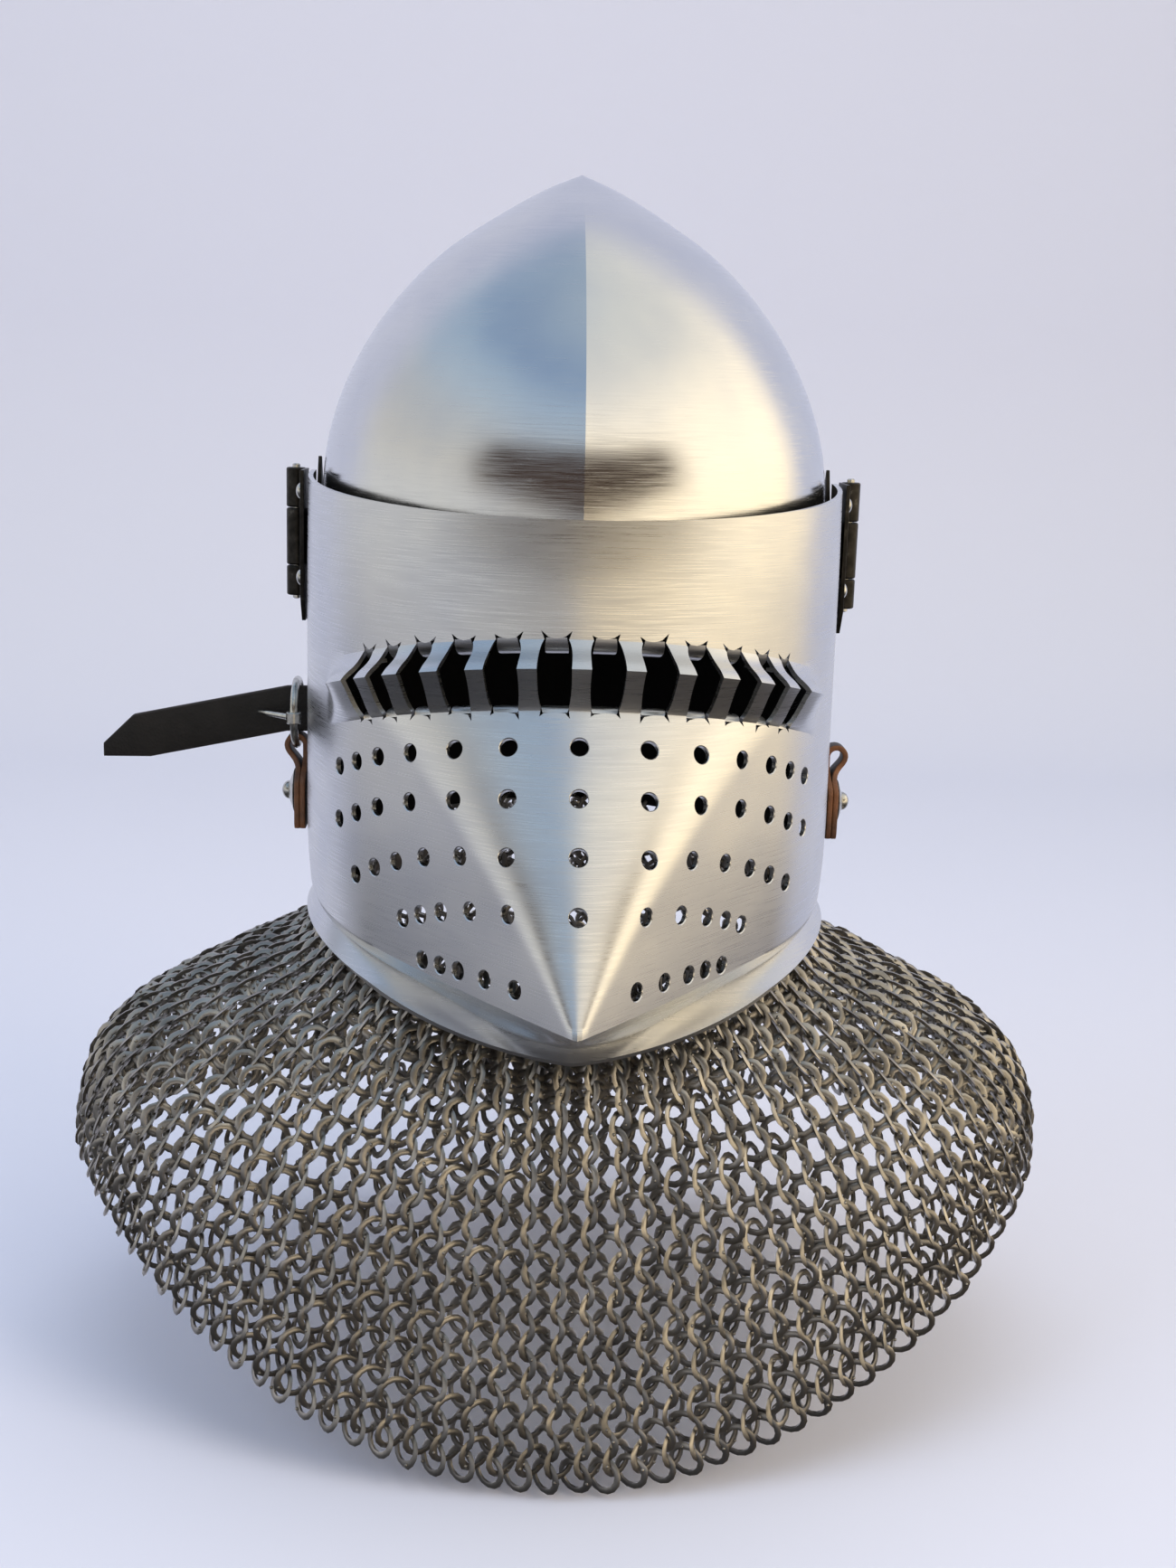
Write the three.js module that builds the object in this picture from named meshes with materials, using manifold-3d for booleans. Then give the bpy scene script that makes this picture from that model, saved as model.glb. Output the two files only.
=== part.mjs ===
// Hounskull bascinet: a pointed steel helmet with a snouted visor and a mail aventail.
// Millimetres, +Z up. The wearer looks along -Y, and +X is on the wearer's left.
// The origin is where the crown of the head seats inside the skull.

import * as THREE from "three";
import { mergeVertices } from "three/addons/utils/BufferGeometryUtils.js";
import Module from "manifold-3d";

const wasm = await Module();
wasm.setup();

// Driving dimensions
const sheet = 2;               // steel of the skull and the visor
const seatGap = 0.4;           // air between pieces that touch
const curveGap = 0.35;         // more of it where a flat piece lies on the curved visor
const rimLevel = -60;          // visor's top rim at the front, below the crown of the head
const rad = Math.PI / 180;

// Skull: rise is above the visor's rim, the rest is the outside of each level
const skullLevels = [
  { rise: 134, halfWidth: 0, front: 28, back: 28 },
  { rise: 127, halfWidth: 16, front: 9, back: 44 },
  { rise: 116, halfWidth: 35, front: -17, back: 68 },
  { rise: 101, halfWidth: 57, front: -41, back: 90 },
  { rise: 82, halfWidth: 76, front: -64, back: 109 },
  { rise: 60, halfWidth: 91, front: -83, back: 123 },
  { rise: 36, halfWidth: 101.5, front: -96, back: 131 },
  { rise: 12, halfWidth: 106.5, front: -103.5, back: 134 },
  { rise: -20, halfWidth: 107, front: -107, back: 132 },
  { rise: -60, halfWidth: 106, front: -107, back: 126 },
  { rise: -105, halfWidth: 104.5, front: -104, back: 121 },
  { rise: -155, halfWidth: 103, front: -100, back: 122 },
];
const skullKeel = 0.16;        // how sharply each level comes to its ridge
const face = { halfWidth: 86, browRise: -22, corner: 40, foot: -220, depth: 180 };

// Visor: each level is the hull of a drum round the head and a nose circle that ends at front
const visorLevels = [
  { name: "rim", rise: 0, sideRise: 9, halfWidth: 111.5, reach: 113, front: 113, nose: 113 },
  { name: "band", rise: -20, sideRise: -28, halfWidth: 112, reach: 116, front: 116, nose: 116 },
  { name: "slot_top", rise: -43, sideRise: -79, halfWidth: 112, reach: 118.5, front: 118.5, nose: 118.5 },
  { name: "eye_ridge", rise: -52, sideRise: -92, halfWidth: 112, reach: 119.5, front: 119.5, nose: 119.5 },
  { name: "slot_foot", rise: -69, sideRise: -106, halfWidth: 112, reach: 121, front: 121, nose: 121 },
  { name: "cheek", rise: -95, sideRise: -122, halfWidth: 112, reach: 125, front: 137, nose: 91 },
  { name: "snout", rise: -121, sideRise: -136, halfWidth: 112, reach: 129, front: 153, nose: 61 },
  { name: "muzzle", rise: -148, sideRise: -149, halfWidth: 112, reach: 131, front: 169, nose: 31 },
  { name: "tip", rise: -173.6, sideRise: -157, halfWidth: 110.5, reach: 129, front: 185, nose: 2 },
  { name: "under", rise: -183, sideRise: -161.5, halfWidth: 108.5, reach: 124, front: 163, nose: 10 },
  { name: "crease", rise: -191.5, sideRise: -165.5, halfWidth: 107, reach: 120, front: 143, nose: 45 },
  { name: "hem", rise: -196.5, sideRise: -173, halfWidth: 111.5, reach: 131, front: 146, nose: 50 },
];
const levelOf = (name) => visorLevels.findIndex((level) => level.name === name);
const visorEnd = 93 * rad;     // where the visor's rear edges lie, from straight ahead
const ridge = { height: 11.5, sideShare: 0.9, fullTo: 51 * rad, goneBy: 62 * rad };

// Eye slots and breath holes: degrees to either side, narrower towards the cheeks
const slots = [
  { turn: 4.7, width: 12.8 },
  { turn: 14.1, width: 12.8 },
  { turn: 23, width: 11.3 },
  { turn: 31.5, width: 10.5 },
  { turn: 39.2, width: 8.8 },
  { turn: 46, width: 8 },
];
const slotEndShare = 0.72;     // width of a slot's ends beside its waist
const slotWaist = { up: 0.5, down: 0.6 };  // share of its height over which a slot is full width
const holeRadius = 3.6;
const holeSides = 6;
const holeRows = [
  { rise: -81, droop: 49, beside: [0, 26, 46, 63, 76, 85, 93] },
  { rise: -98, droop: 58, beside: [0, 26, 46, 63, 76, 85, 93] },
  { rise: -117, droop: 74, beside: [0, 26, 42, 54, 64, 75, 84] },
  { rise: -136, droop: 94, beside: [0, 24, 38, 50, 58, 66] },
  { rise: -164, droop: 20, beside: [22, 30, 38, 44, 51] },
];

// Temple pivots, and the hinges between the visor's rear edges and their arms
const pivot = {
  y: 28, rise: -17, shankRadius: 3, headRadius: 7, headHeight: 3.2,
  inner: 102.4, footRadius: 4.5, footHeight: 1.5, air: 0.35,
};
const hinge = { x: 118.2, y: 9.5, rise: -17, barrelRadius: 4.2, pinRadius: 1.6, pinEnd: 28, plate: 1.6 };
const knuckles = [
  { top: 27, foot: 10.4, on: "leaf" },
  { top: 10, foot: -14, on: "arm" },
  { top: -14.4, foot: -27, on: "leaf" },
];
const leaf = {
  front: -13, rear: 6.4, web: 5.6, top: 27, shoulder: -26, point: -36, pointFront: -7, pointRear: 3.4,
};
const arm = {
  x: 107.5, front: 4, rear: 38, tip: 46, halfHeight: 15, web: 7, point: 32, pointY: 11, pointRear: 20,
};
const leafRivet = { y: -4, offset: 18, radius: 3.6, height: 2.4 };

// Leather tabs, ring buckle and strap
const tab = {
  y: 1, width: 22, loopWidth: 9, layer: 2.4, foot: -143, eyeAir: 1.1, shoulder: -14, neck: -4, top: 9,
};
const ring = { radius: 14, wire: 1.7, y: 8, rise: -95 };
const tabRivet = { rise: -128, washerRadius: 9.5, washerHeight: 2.6, radius: 4, height: 3 };
const strap = { x: 106.4, y: 9, width: 20, thick: 3, bend: 7, tail: 30, rise: -93.7 };
const strapEnd = { from: 122, tip: 202, droop: 17, topCorner: 13, footCorner: 20, noseTop: 10, noseFoot: 16 };
const prong = {
  wire: 1.3, tipShare: 0.7, sleeve: 3.4, sleeveHeight: 5, rootX: 2.6, rootY: 1.5, air: 0.5, end: 135,
};

// Aventail: each row of the mail's fall, as its outer face
const mailRows = [
  { halfWidth: 102, front: 96, back: 120, riseFront: -178, riseSide: -155.5, riseBack: -155.5 },
  { halfWidth: 103, front: 114, back: 125, riseFront: -201, riseSide: -178, riseBack: -170 },
  { halfWidth: 118, front: 126, back: 134, riseFront: -218, riseSide: -194, riseBack: -190 },
  { halfWidth: 155, front: 134, back: 145, riseFront: -248, riseSide: -210, riseBack: -217 },
  { halfWidth: 190, front: 139, back: 150, riseFront: -288, riseSide: -228, riseBack: -252 },
  { halfWidth: 207, front: 142, back: 151, riseFront: -330, riseSide: -249, riseBack: -290 },
  { halfWidth: 212, front: 144, back: 149, riseFront: -371, riseSide: -275, riseBack: -325 },
];
const mailThick = 5;

// Colours
const steel = { color: 0xb4b8bd, roughness: 0.3, metalness: 1 };
const blackSteel = { color: 0x2a2826, roughness: 0.55, metalness: 0.8 };
const rivetSteel = { color: 0xc9c8c4, roughness: 0.3, metalness: 1 };
const leather = { color: 0x231d1a, roughness: 0.7, metalness: 0 };
const mailSteel = { color: 0x6f6e6c, roughness: 0.5, metalness: 0.9 };

const helmet = new THREE.Group();

function addMesh(name, geometry, look) {
  const mesh = new THREE.Mesh(geometry, new THREE.MeshStandardMaterial(look));
  mesh.name = name;
  helmet.add(mesh);
  return mesh;
}

// Smooth value between the levels of a table, at place v counted in levels
function alongTable(table, key, v) {
  const last = table.length - 1;
  const i = Math.min(Math.floor(v), last - 1);
  const at = (k) => table[Math.max(0, Math.min(last, k))][key];
  return catmull(at(i - 1), at(i), at(i + 1), at(i + 2), v - i);
}

function catmull(a, b, c, d, t) {
  const m0 = (c - a) / 2;
  const m1 = (d - b) / 2;
  const t2 = t * t;
  const t3 = t2 * t;
  return (2 * t3 - 3 * t2 + 1) * b + (t3 - 2 * t2 + t) * m0 + (3 * t2 - 2 * t3) * c + (t3 - t2) * m1;
}

function smoothStep(from, to, x) {
  const t = Math.max(0, Math.min(1, (x - from) / (to - from)));
  return t * t * (3 - 2 * t);
}

// A closed solid from loose triangles given as an array of THREE.Vector3
function geometryFromTriangles(points) {
  const positions = new Float32Array(points.length * 3);
  points.forEach((p, i) => p.toArray(positions, 3 * i));
  const geometry = new THREE.BufferGeometry();
  geometry.setAttribute("position", new THREE.BufferAttribute(positions, 3));
  return mergeVertices(geometry, 1e-4);
}

// Unit normal of surface(u, v) on the side of du x dv, which is the inside of every wall here
function surfaceNormal(surface, u, v, uLow, uHigh, vLow, vHigh) {
  const h = 1e-3;
  const du = surface(Math.min(uHigh, u + h), v).sub(surface(Math.max(uLow, u - h), v));
  const dv = surface(u, Math.min(vHigh, v + h)).sub(surface(u, Math.max(vLow, v - h)));
  return du.cross(dv).normalize();
}

// Wall of a given thickness under an outer surface, as a closed solid
function wallGeometry(surface, thickness, us, vs, options = {}) {
  const uLow = us[0];
  const uHigh = us[us.length - 1];
  const vLow = vs[0];
  const vHigh = vs[vs.length - 1];
  const margin = options.closed ? 1 : 0;
  const outer = vs.map((v) => us.map((u) => surface(u, v)));
  const inner = vs.map((v, j) => us.map((u, i) => {
    if (options.pole && j === 0) return outer[0][i].clone().add(new THREE.Vector3(0, 0, -options.pole));
    const n = surfaceNormal(surface, u, v, uLow - margin, uHigh + margin, vLow, vHigh);
    return outer[j][i].clone().addScaledVector(n, thickness);
  }));
  if (options.closed) {
    for (const grid of [outer, inner]) grid.forEach((row) => { row[row.length - 1] = row[0].clone(); });
  }
  const triangles = [];
  const quad = (a, b, c, d) => {
    const same = (p, q) => p.distanceTo(q) < 1e-4;
    if (!same(a, b) && !same(b, c) && !same(a, c)) triangles.push(a, c, b);
    if (!same(a, c) && !same(c, d) && !same(a, d)) triangles.push(a, d, c);
  };
  const rows = vs.length - 1;
  const columns = us.length - 1;
  for (let j = 0; j < rows; j += 1) {
    for (let i = 0; i < columns; i += 1) {
      quad(outer[j][i], outer[j][i + 1], outer[j + 1][i + 1], outer[j + 1][i]);
      quad(inner[j][i], inner[j + 1][i], inner[j + 1][i + 1], inner[j][i + 1]);
    }
  }
  for (let i = 0; i < columns; i += 1) {
    if (!options.pole) quad(outer[0][i], inner[0][i], inner[0][i + 1], outer[0][i + 1]);
    quad(outer[rows][i], outer[rows][i + 1], inner[rows][i + 1], inner[rows][i]);
  }
  if (!options.closed) {
    for (let j = 0; j < rows; j += 1) {
      quad(outer[j][0], outer[j + 1][0], inner[j + 1][0], inner[j][0]);
      quad(outer[j][columns], inner[j][columns], inner[j + 1][columns], outer[j + 1][columns]);
    }
  }
  return geometryFromTriangles(triangles);
}

function steps(from, to, count) {
  return Array.from({ length: count + 1 }, (_, i) => from + (to - from) * i / count);
}

function toManifold(geometry) {
  const bare = geometry.clone();
  bare.deleteAttribute("normal");
  bare.deleteAttribute("uv");
  const merged = mergeVertices(bare, 1e-4);
  const vertProperties = new Float32Array(merged.attributes.position.array);
  const triVerts = new Uint32Array(merged.index.array);
  return new wasm.Manifold(new wasm.Mesh({ numProp: 3, vertProperties, triVerts }));
}

function toGeometry(manifold) {
  const mesh = manifold.getMesh();
  const geometry = new THREE.BufferGeometry();
  geometry.setAttribute("position", new THREE.BufferAttribute(new Float32Array(mesh.vertProperties), 3));
  geometry.setIndex(new THREE.BufferAttribute(new Uint32Array(mesh.triVerts), 1));
  return geometry;
}

// Skull, apex to lower rim: ridge line at the front and the back, angle 0 straight ahead
function skullPoint(angle, v) {
  const level = (key) => alongTable(skullLevels, key, v);
  const middle = (level("front") + level("back")) / 2;
  const depth = (level("back") - level("front")) / 2;
  const side = Math.sin(angle);
  const y = middle - depth * Math.cos(angle) * (1 - skullKeel * Math.abs(side));
  return new THREE.Vector3(level("halfWidth") * side, y, rimLevel + level("rise"));
}

// Arch with rounded upper corners, cut out of the front below the brow
function faceCutter() {
  const top = rimLevel + face.browRise;
  const foot = rimLevel + face.foot;
  const outline = new THREE.Shape();
  outline.moveTo(-face.halfWidth, foot);
  outline.lineTo(face.halfWidth, foot);
  outline.lineTo(face.halfWidth, top - face.corner);
  outline.absarc(face.halfWidth - face.corner, top - face.corner, face.corner, 0, Math.PI / 2);
  outline.absarc(face.corner - face.halfWidth, top - face.corner, face.corner, Math.PI / 2, Math.PI);
  const through = { depth: face.depth, bevelEnabled: false, curveSegments: 6 };
  const geometry = new THREE.ExtrudeGeometry(outline, through);
  geometry.rotateX(Math.PI / 2);
  return geometry;
}

// Visor sheet in plan: round the nose circle, along the tangent to the drum, then round the drum.
// Angles up to the tangent's own are shared out along the first two by length.
function visorPlan(off, reach, front, nose) {
  const ahead = Math.max(front - nose, 1e-3);
  const touch = Math.acos(THREE.MathUtils.clamp((reach - nose) / ahead, 0, 0.98));
  if (off >= touch) return [reach * Math.sin(off), reach * Math.cos(off)];
  const arc = nose * touch;
  const straight = Math.sqrt(Math.max(ahead ** 2 - (reach - nose) ** 2, 0));
  const way = off / touch * (arc + straight);
  const turn = Math.min(way / nose, touch);
  const from = [nose * Math.sin(turn), ahead + nose * Math.cos(turn)];
  const share = straight > 0 ? Math.max(0, way - arc) / straight : 0;
  const to = [reach * Math.sin(touch), reach * Math.cos(touch)];
  return from.map((value, k) => value + (to[k] - value) * share);
}

// Visor sheet: level v, angle from straight ahead
function visorPoint(angle, v) {
  const level = (key) => alongTable(visorLevels, key, v);
  const off = Math.abs(angle);
  const away = 1 - Math.cos(angle);
  const z = rimLevel + level("rise") + (level("sideRise") - level("rise")) * away;
  const onRidge = Math.max(0, 1 - Math.abs(v - levelOf("eye_ridge")));
  const proud = ridge.height * onRidge * (1 - smoothStep(ridge.fullTo, ridge.goneBy, off));
  const [across, forward] = visorPlan(off, level("reach"), level("front"), level("nose"));
  const side = Math.sign(angle) * across * level("halfWidth") / level("reach");
  const x = side + proud * ridge.sideShare * Math.sin(angle);
  return new THREE.Vector3(x, -forward - proud * Math.cos(angle), z);
}

// Prism with a given outline, through the sheet and square to it in plan
function cutterAt(outline, angle, z, radius) {
  const inside = 25;
  const length = 60;
  const geometry = new THREE.ExtrudeGeometry(outline, { depth: length, bevelEnabled: false });
  geometry.rotateX(Math.PI / 2);
  geometry.translate(0, inside - radius, z);
  geometry.rotateZ(angle);
  return geometry;
}

// Slot outline: narrow at both ends, full width across the ridge, up and down from its peak
function slotOutline(width, up, down) {
  const half = width / 2;
  const end = half * slotEndShare;
  const corners = [
    [-end, -down], [end, -down], [half, -down * slotWaist.down], [half, up * slotWaist.up],
    [end, up], [-end, up], [-half, up * slotWaist.up], [-half, -down * slotWaist.down],
  ];
  return new THREE.Shape(corners.map(([x, y]) => new THREE.Vector2(x, y)));
}

function holeOutline() {
  const corner = (turn) => new THREE.Vector2(holeRadius * Math.cos(turn), holeRadius * Math.sin(turn));
  const turns = Array.from({ length: holeSides }, (_, i) => (i + 0.5) * 2 * Math.PI / holeSides);
  return new THREE.Shape(turns.map(corner));
}

// Level at which the sheet passes a given height, found by halving
function levelAtHeight(angle, z) {
  let low = 0;
  let high = visorLevels.length - 1;
  for (let i = 0; i < 30; i += 1) {
    const middle = (low + high) / 2;
    if (visorPoint(angle, middle).z > z) low = middle;
    else high = middle;
  }
  return low;
}

function eyeSlotCutters() {
  return slots.flatMap(({ turn, width }) => [-1, 1].map((side) => {
    const angle = side * turn * rad;
    const peak = visorPoint(angle, levelOf("eye_ridge"));
    const up = visorPoint(angle, levelOf("slot_top")).z - peak.z + 1;
    const down = peak.z - visorPoint(angle, levelOf("slot_foot")).z + 1;
    const heading = Math.atan2(peak.x, -peak.y);
    return cutterAt(slotOutline(width, up, down), heading, peak.z, Math.hypot(peak.x, peak.y));
  }));
}

// Angle at which the sheet at a given height passes a distance from the middle plane
function angleBeside(x, z) {
  let low = 0;
  let high = Math.PI / 2;
  for (let i = 0; i < 30; i += 1) {
    const middle = (low + high) / 2;
    if (visorPoint(middle, levelAtHeight(middle, z)).x < x) low = middle;
    else high = middle;
  }
  return low;
}

function breathHoleCutters() {
  return holeRows.flatMap(({ rise, droop, beside }) => beside.flatMap((x) => {
    const halfWidth = visorLevels[0].halfWidth;
    const z = rimLevel + rise - droop * (1 - Math.sqrt(1 - (x / halfWidth) ** 2));
    const turn = x === 0 ? 0 : angleBeside(x, z);
    const sides = x === 0 ? [1] : [-1, 1];
    return sides.map((side) => {
      const angle = side * turn;
      const at = visorPoint(angle, levelAtHeight(angle, z));
      const heading = Math.atan2(at.x, -at.y);
      return cutterAt(holeOutline(), heading, z, Math.hypot(at.x, at.y));
    });
  }));
}

function subtractAll(geometry, cutters) {
  const solid = cutters.reduce((rest, cutter) => rest.subtract(toManifold(cutter)), toManifold(geometry));
  return toGeometry(solid);
}

// Turned piece with its axis along X: rows of [radius, distance outwards]
function turned(profile, side, x, y, z, sides = 10) {
  const points = profile.map(([radius, out]) => new THREE.Vector2(radius, out));
  const geometry = new THREE.LatheGeometry(points, sides);
  geometry.rotateZ(-side * Math.PI / 2);
  geometry.translate(side * x, y, z);
  return geometry;
}

// Dome on a flat base, as profile rows for a turned piece
function domeRows(radius, height, base) {
  return [0, 1, 2, 3].map((i) => {
    const lift = i / 3 * Math.PI / 2;
    return [i === 3 ? 0 : radius * Math.cos(lift), base + height * Math.sin(lift)];
  });
}

// Upright round bar from foot to top
function bar(radius, x, y, foot, top, sides = 14) {
  const geometry = new THREE.CylinderGeometry(radius, radius, top - foot, sides);
  geometry.rotateX(Math.PI / 2);
  geometry.translate(x, y, (foot + top) / 2);
  return geometry;
}

// Plate cut from flat stock: corners are [y, z], thickness goes outwards from x on the given side
function plate(corners, x, thickness, side) {
  const shape = new THREE.Shape(corners.map(([y, z]) => new THREE.Vector2(y, z)));
  const geometry = new THREE.ExtrudeGeometry(shape, { depth: thickness, bevelEnabled: false });
  geometry.rotateX(Math.PI / 2);
  geometry.rotateZ(Math.PI / 2);
  geometry.translate(side > 0 ? x : -x - thickness, 0, 0);
  return geometry;
}

function block(x0, x1, y0, y1, z0, z1) {
  const geometry = new THREE.BoxGeometry(Math.abs(x1 - x0), y1 - y0, z1 - z0);
  geometry.translate((x0 + x1) / 2, (y0 + y1) / 2, (z0 + z1) / 2);
  return geometry;
}

function join(geometries) {
  return geometries.map(toManifold).reduce((sum, next) => sum.add(next));
}

// Distance of the visor's outer face from the middle plane at a height beside the hinges
function visorSide(z) {
  const ear = Math.PI / 2;
  return visorPoint(ear, levelAtHeight(ear, z)).x;
}

const hingeZ = rimLevel + hinge.rise;
const pivotZ = rimLevel + pivot.rise;
const leafX = visorSide(hingeZ) + seatGap + curveGap;
const tabX = visorSide(rimLevel + tabRivet.rise) + seatGap + curveGap;
const eyeX = tabX + ring.wire + tab.eyeAir + tab.layer;
const eyeZ = rimLevel + ring.rise - ring.radius;
const sides = [{ side: -1, name: "right" }, { side: 1, name: "left" }];

// Temple pivot rivet: head outside the arm, shank through arm and skull, small head inside
function pivotRivet(side) {
  const headBase = arm.x + hinge.plate + seatGap;
  const { shankRadius, headRadius, headHeight, inner, footRadius, footHeight } = pivot;
  const profile = [
    [0, inner - footHeight], [footRadius, inner - footHeight], [footRadius, inner],
    [shankRadius, inner], [shankRadius, headBase], ...domeRows(headRadius, headHeight, headBase),
  ];
  return turned(profile, side, 0, pivot.y, pivotZ);
}

function pivotBore(side) {
  const radius = pivot.shankRadius + pivot.air;
  const inside = arm.x - 20;
  const outside = arm.x + 20;
  return turned([[0, inside], [radius, inside], [radius, outside], [0, outside]], side, 0, pivot.y, pivotZ);
}

// Barrel knuckles of one leaf, with the web that carries each to its plate
function knuckleRun(side, on, webFrom, webY) {
  return knuckles.filter((knuckle) => knuckle.on === on).flatMap(({ top, foot }) => {
    const z0 = hingeZ + foot;
    const z1 = hingeZ + top;
    return [
      bar(hinge.barrelRadius, side * hinge.x, hinge.y, z0, z1),
      block(side * webFrom, side * hinge.x, webY, webY + hinge.plate, z0, z1),
    ];
  });
}

function hingeLeaf(side) {
  const corners = [
    [leaf.front, leaf.top], [leaf.front, leaf.shoulder], [leaf.pointFront, leaf.point],
    [leaf.pointRear, leaf.point], [leaf.rear, leaf.shoulder], [leaf.rear, leaf.top],
  ].map(([y, z]) => [y, hingeZ + z]);
  const barrels = knuckleRun(side, "leaf", leafX, leaf.web);
  const solid = join([plate(corners, leafX, hinge.plate, side), ...barrels]);
  return toGeometry(solid.subtract(toManifold(hingeBore(side))));
}

function hingeBore(side) {
  const reach = 2 * hinge.pinEnd;
  return bar(hinge.pinRadius + pivot.air, side * hinge.x, hinge.y, hingeZ - reach, hingeZ + reach);
}

function hingeArm(side) {
  const corners = [
    [arm.front, -arm.halfHeight], [arm.rear, -arm.halfHeight], [arm.tip, 0], [arm.rear, arm.halfHeight],
    [arm.pointRear, arm.halfHeight], [arm.pointY, arm.point], [arm.front, arm.halfHeight],
  ].map(([y, z]) => [y, hingeZ + z]);
  const barrels = knuckleRun(side, "arm", arm.x, arm.web);
  const solid = join([plate(corners, arm.x, hinge.plate, side), ...barrels]);
  return toGeometry(solid.subtract(toManifold(hingeBore(side))).subtract(toManifold(pivotBore(side))));
}

function leafRivetGeometry(side, offset) {
  const base = leafX + hinge.plate + seatGap;
  const rows = [[0, base], ...domeRows(leafRivet.radius, leafRivet.height, base)];
  return turned(rows, side, 0, leafRivet.y, hingeZ + offset, 10);
}

// Folded leather tab: two layers with a loop over a ring at the top, narrow at the loop
function tabGeometry(side) {
  const eyeRadius = ring.wire + tab.eyeAir;
  const outer = eyeRadius + tab.layer;
  const thick = 2 * tab.layer;
  const foot = rimLevel + tab.foot;
  const profile = new THREE.Shape();
  profile.moveTo(tabX, foot);
  profile.lineTo(tabX + thick, foot);
  profile.lineTo(tabX + thick, eyeZ - outer + tab.neck);
  profile.lineTo(eyeX + outer, eyeZ);
  profile.absarc(eyeX, eyeZ, outer, 0, Math.PI);
  const eye = new THREE.Path();
  eye.absarc(eyeX, eyeZ, eyeRadius, 0, 2 * Math.PI, true);
  profile.holes.push(eye);
  const across = { depth: 3 * tab.width, bevelEnabled: false, curveSegments: 6 };
  const folded = new THREE.ExtrudeGeometry(profile, across);
  folded.rotateX(Math.PI / 2);
  folded.translate(0, tab.y + 1.5 * tab.width, 0);
  const half = tab.width / 2;
  const loop = tab.loopWidth / 2;
  const front = [
    [tab.y - half, foot], [tab.y + half, foot], [tab.y + half, eyeZ + tab.shoulder],
    [ring.y + loop, eyeZ + tab.neck], [ring.y + loop, eyeZ + tab.top], [ring.y - loop, eyeZ + tab.top],
    [ring.y - loop, eyeZ + tab.neck], [tab.y - half, eyeZ + tab.shoulder],
  ];
  const cut = toManifold(folded).intersect(toManifold(plate(front, tabX - tab.width, 3 * tab.width, 1)));
  return toGeometry(side > 0 ? cut : cut.mirror([1, 0, 0]));
}

function tabRivetGeometry(side) {
  const base = tabX + 2 * tab.layer + seatGap;
  const { washerRadius, washerHeight, radius, height } = tabRivet;
  const rows = [[0, base], [washerRadius, base], [radius, base + washerHeight]];
  const dome = domeRows(radius, height, base + washerHeight);
  return turned([...rows, ...dome.slice(1)], side, 0, tab.y, rimLevel + tabRivet.rise);
}

// Ring buckle in the plane of the ear, its foot in the tab's loop
function ringGeometry(side) {
  const geometry = new THREE.TorusGeometry(ring.radius, ring.wire, 6, 20);
  geometry.rotateY(Math.PI / 2);
  geometry.translate(side * eyeX, ring.y, rimLevel + ring.rise);
  return geometry;
}

// Skull
const skullAngles = steps(-Math.PI, Math.PI, 36);
const skullStations = [0, 0.5, 1, 1.5, 2, 2.5, 3, 3.5, 4, 5, 6, 7, 8, 9, 10, 11];
const skullWall = wallGeometry(skullPoint, sheet, skullAngles, skullStations, { closed: true, pole: 3 });
addMesh("skull", subtractAll(skullWall, [faceCutter(), pivotBore(-1), pivotBore(1)]), steel);

// Visor
const visorAngles = steps(-visorEnd, visorEnd, 32);
const visorStations = [0, 1, 2, 3, 4, 5, 6, 7, 7.5, 8, 8.5, 9, 10, 11];
const visorWall = wallGeometry(visorPoint, sheet, visorAngles, visorStations);
addMesh("visor", subtractAll(visorWall, [...eyeSlotCutters(), ...breathHoleCutters()]), steel);

// Mail aventail, one wall with an open neck
function mailPoint(angle, v) {
  const row = (key) => alongTable(mailRows, key, v);
  const forward = Math.cos(angle);
  const end = forward > 0 ? "Front" : "Back";
  const reach = row(forward > 0 ? "front" : "back");
  const z = row("riseSide") + (row("rise" + end) - row("riseSide")) * forward * forward;
  return new THREE.Vector3(row("halfWidth") * Math.sin(angle), -reach * forward, rimLevel + z);
}
const mailAngles = steps(-Math.PI, Math.PI, 32);
const mailLevels = steps(0, mailRows.length - 1, 8);
addMesh("aventail", wallGeometry(mailPoint, mailThick, mailAngles, mailLevels, { closed: true }), mailSteel);

for (const { side, name } of sides) {
  addMesh(`pivot_rivet_${name}`, pivotRivet(side), rivetSteel);
  addMesh(`hinge_arm_${name}`, hingeArm(side), blackSteel);
  addMesh(`hinge_leaf_${name}`, hingeLeaf(side), blackSteel);
  const pin = bar(hinge.pinRadius, side * hinge.x, hinge.y, hingeZ - hinge.pinEnd, hingeZ + hinge.pinEnd, 10);
  addMesh(`hinge_pin_${name}`, pin, rivetSteel);
  addMesh(`leaf_rivet_upper_${name}`, leafRivetGeometry(side, leafRivet.offset), rivetSteel);
  addMesh(`leaf_rivet_lower_${name}`, leafRivetGeometry(side, -leafRivet.offset), rivetSteel);
  addMesh(`tab_${name}`, tabGeometry(side), leather);
  addMesh(`tab_rivet_${name}`, tabRivetGeometry(side), rivetSteel);
}

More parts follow.
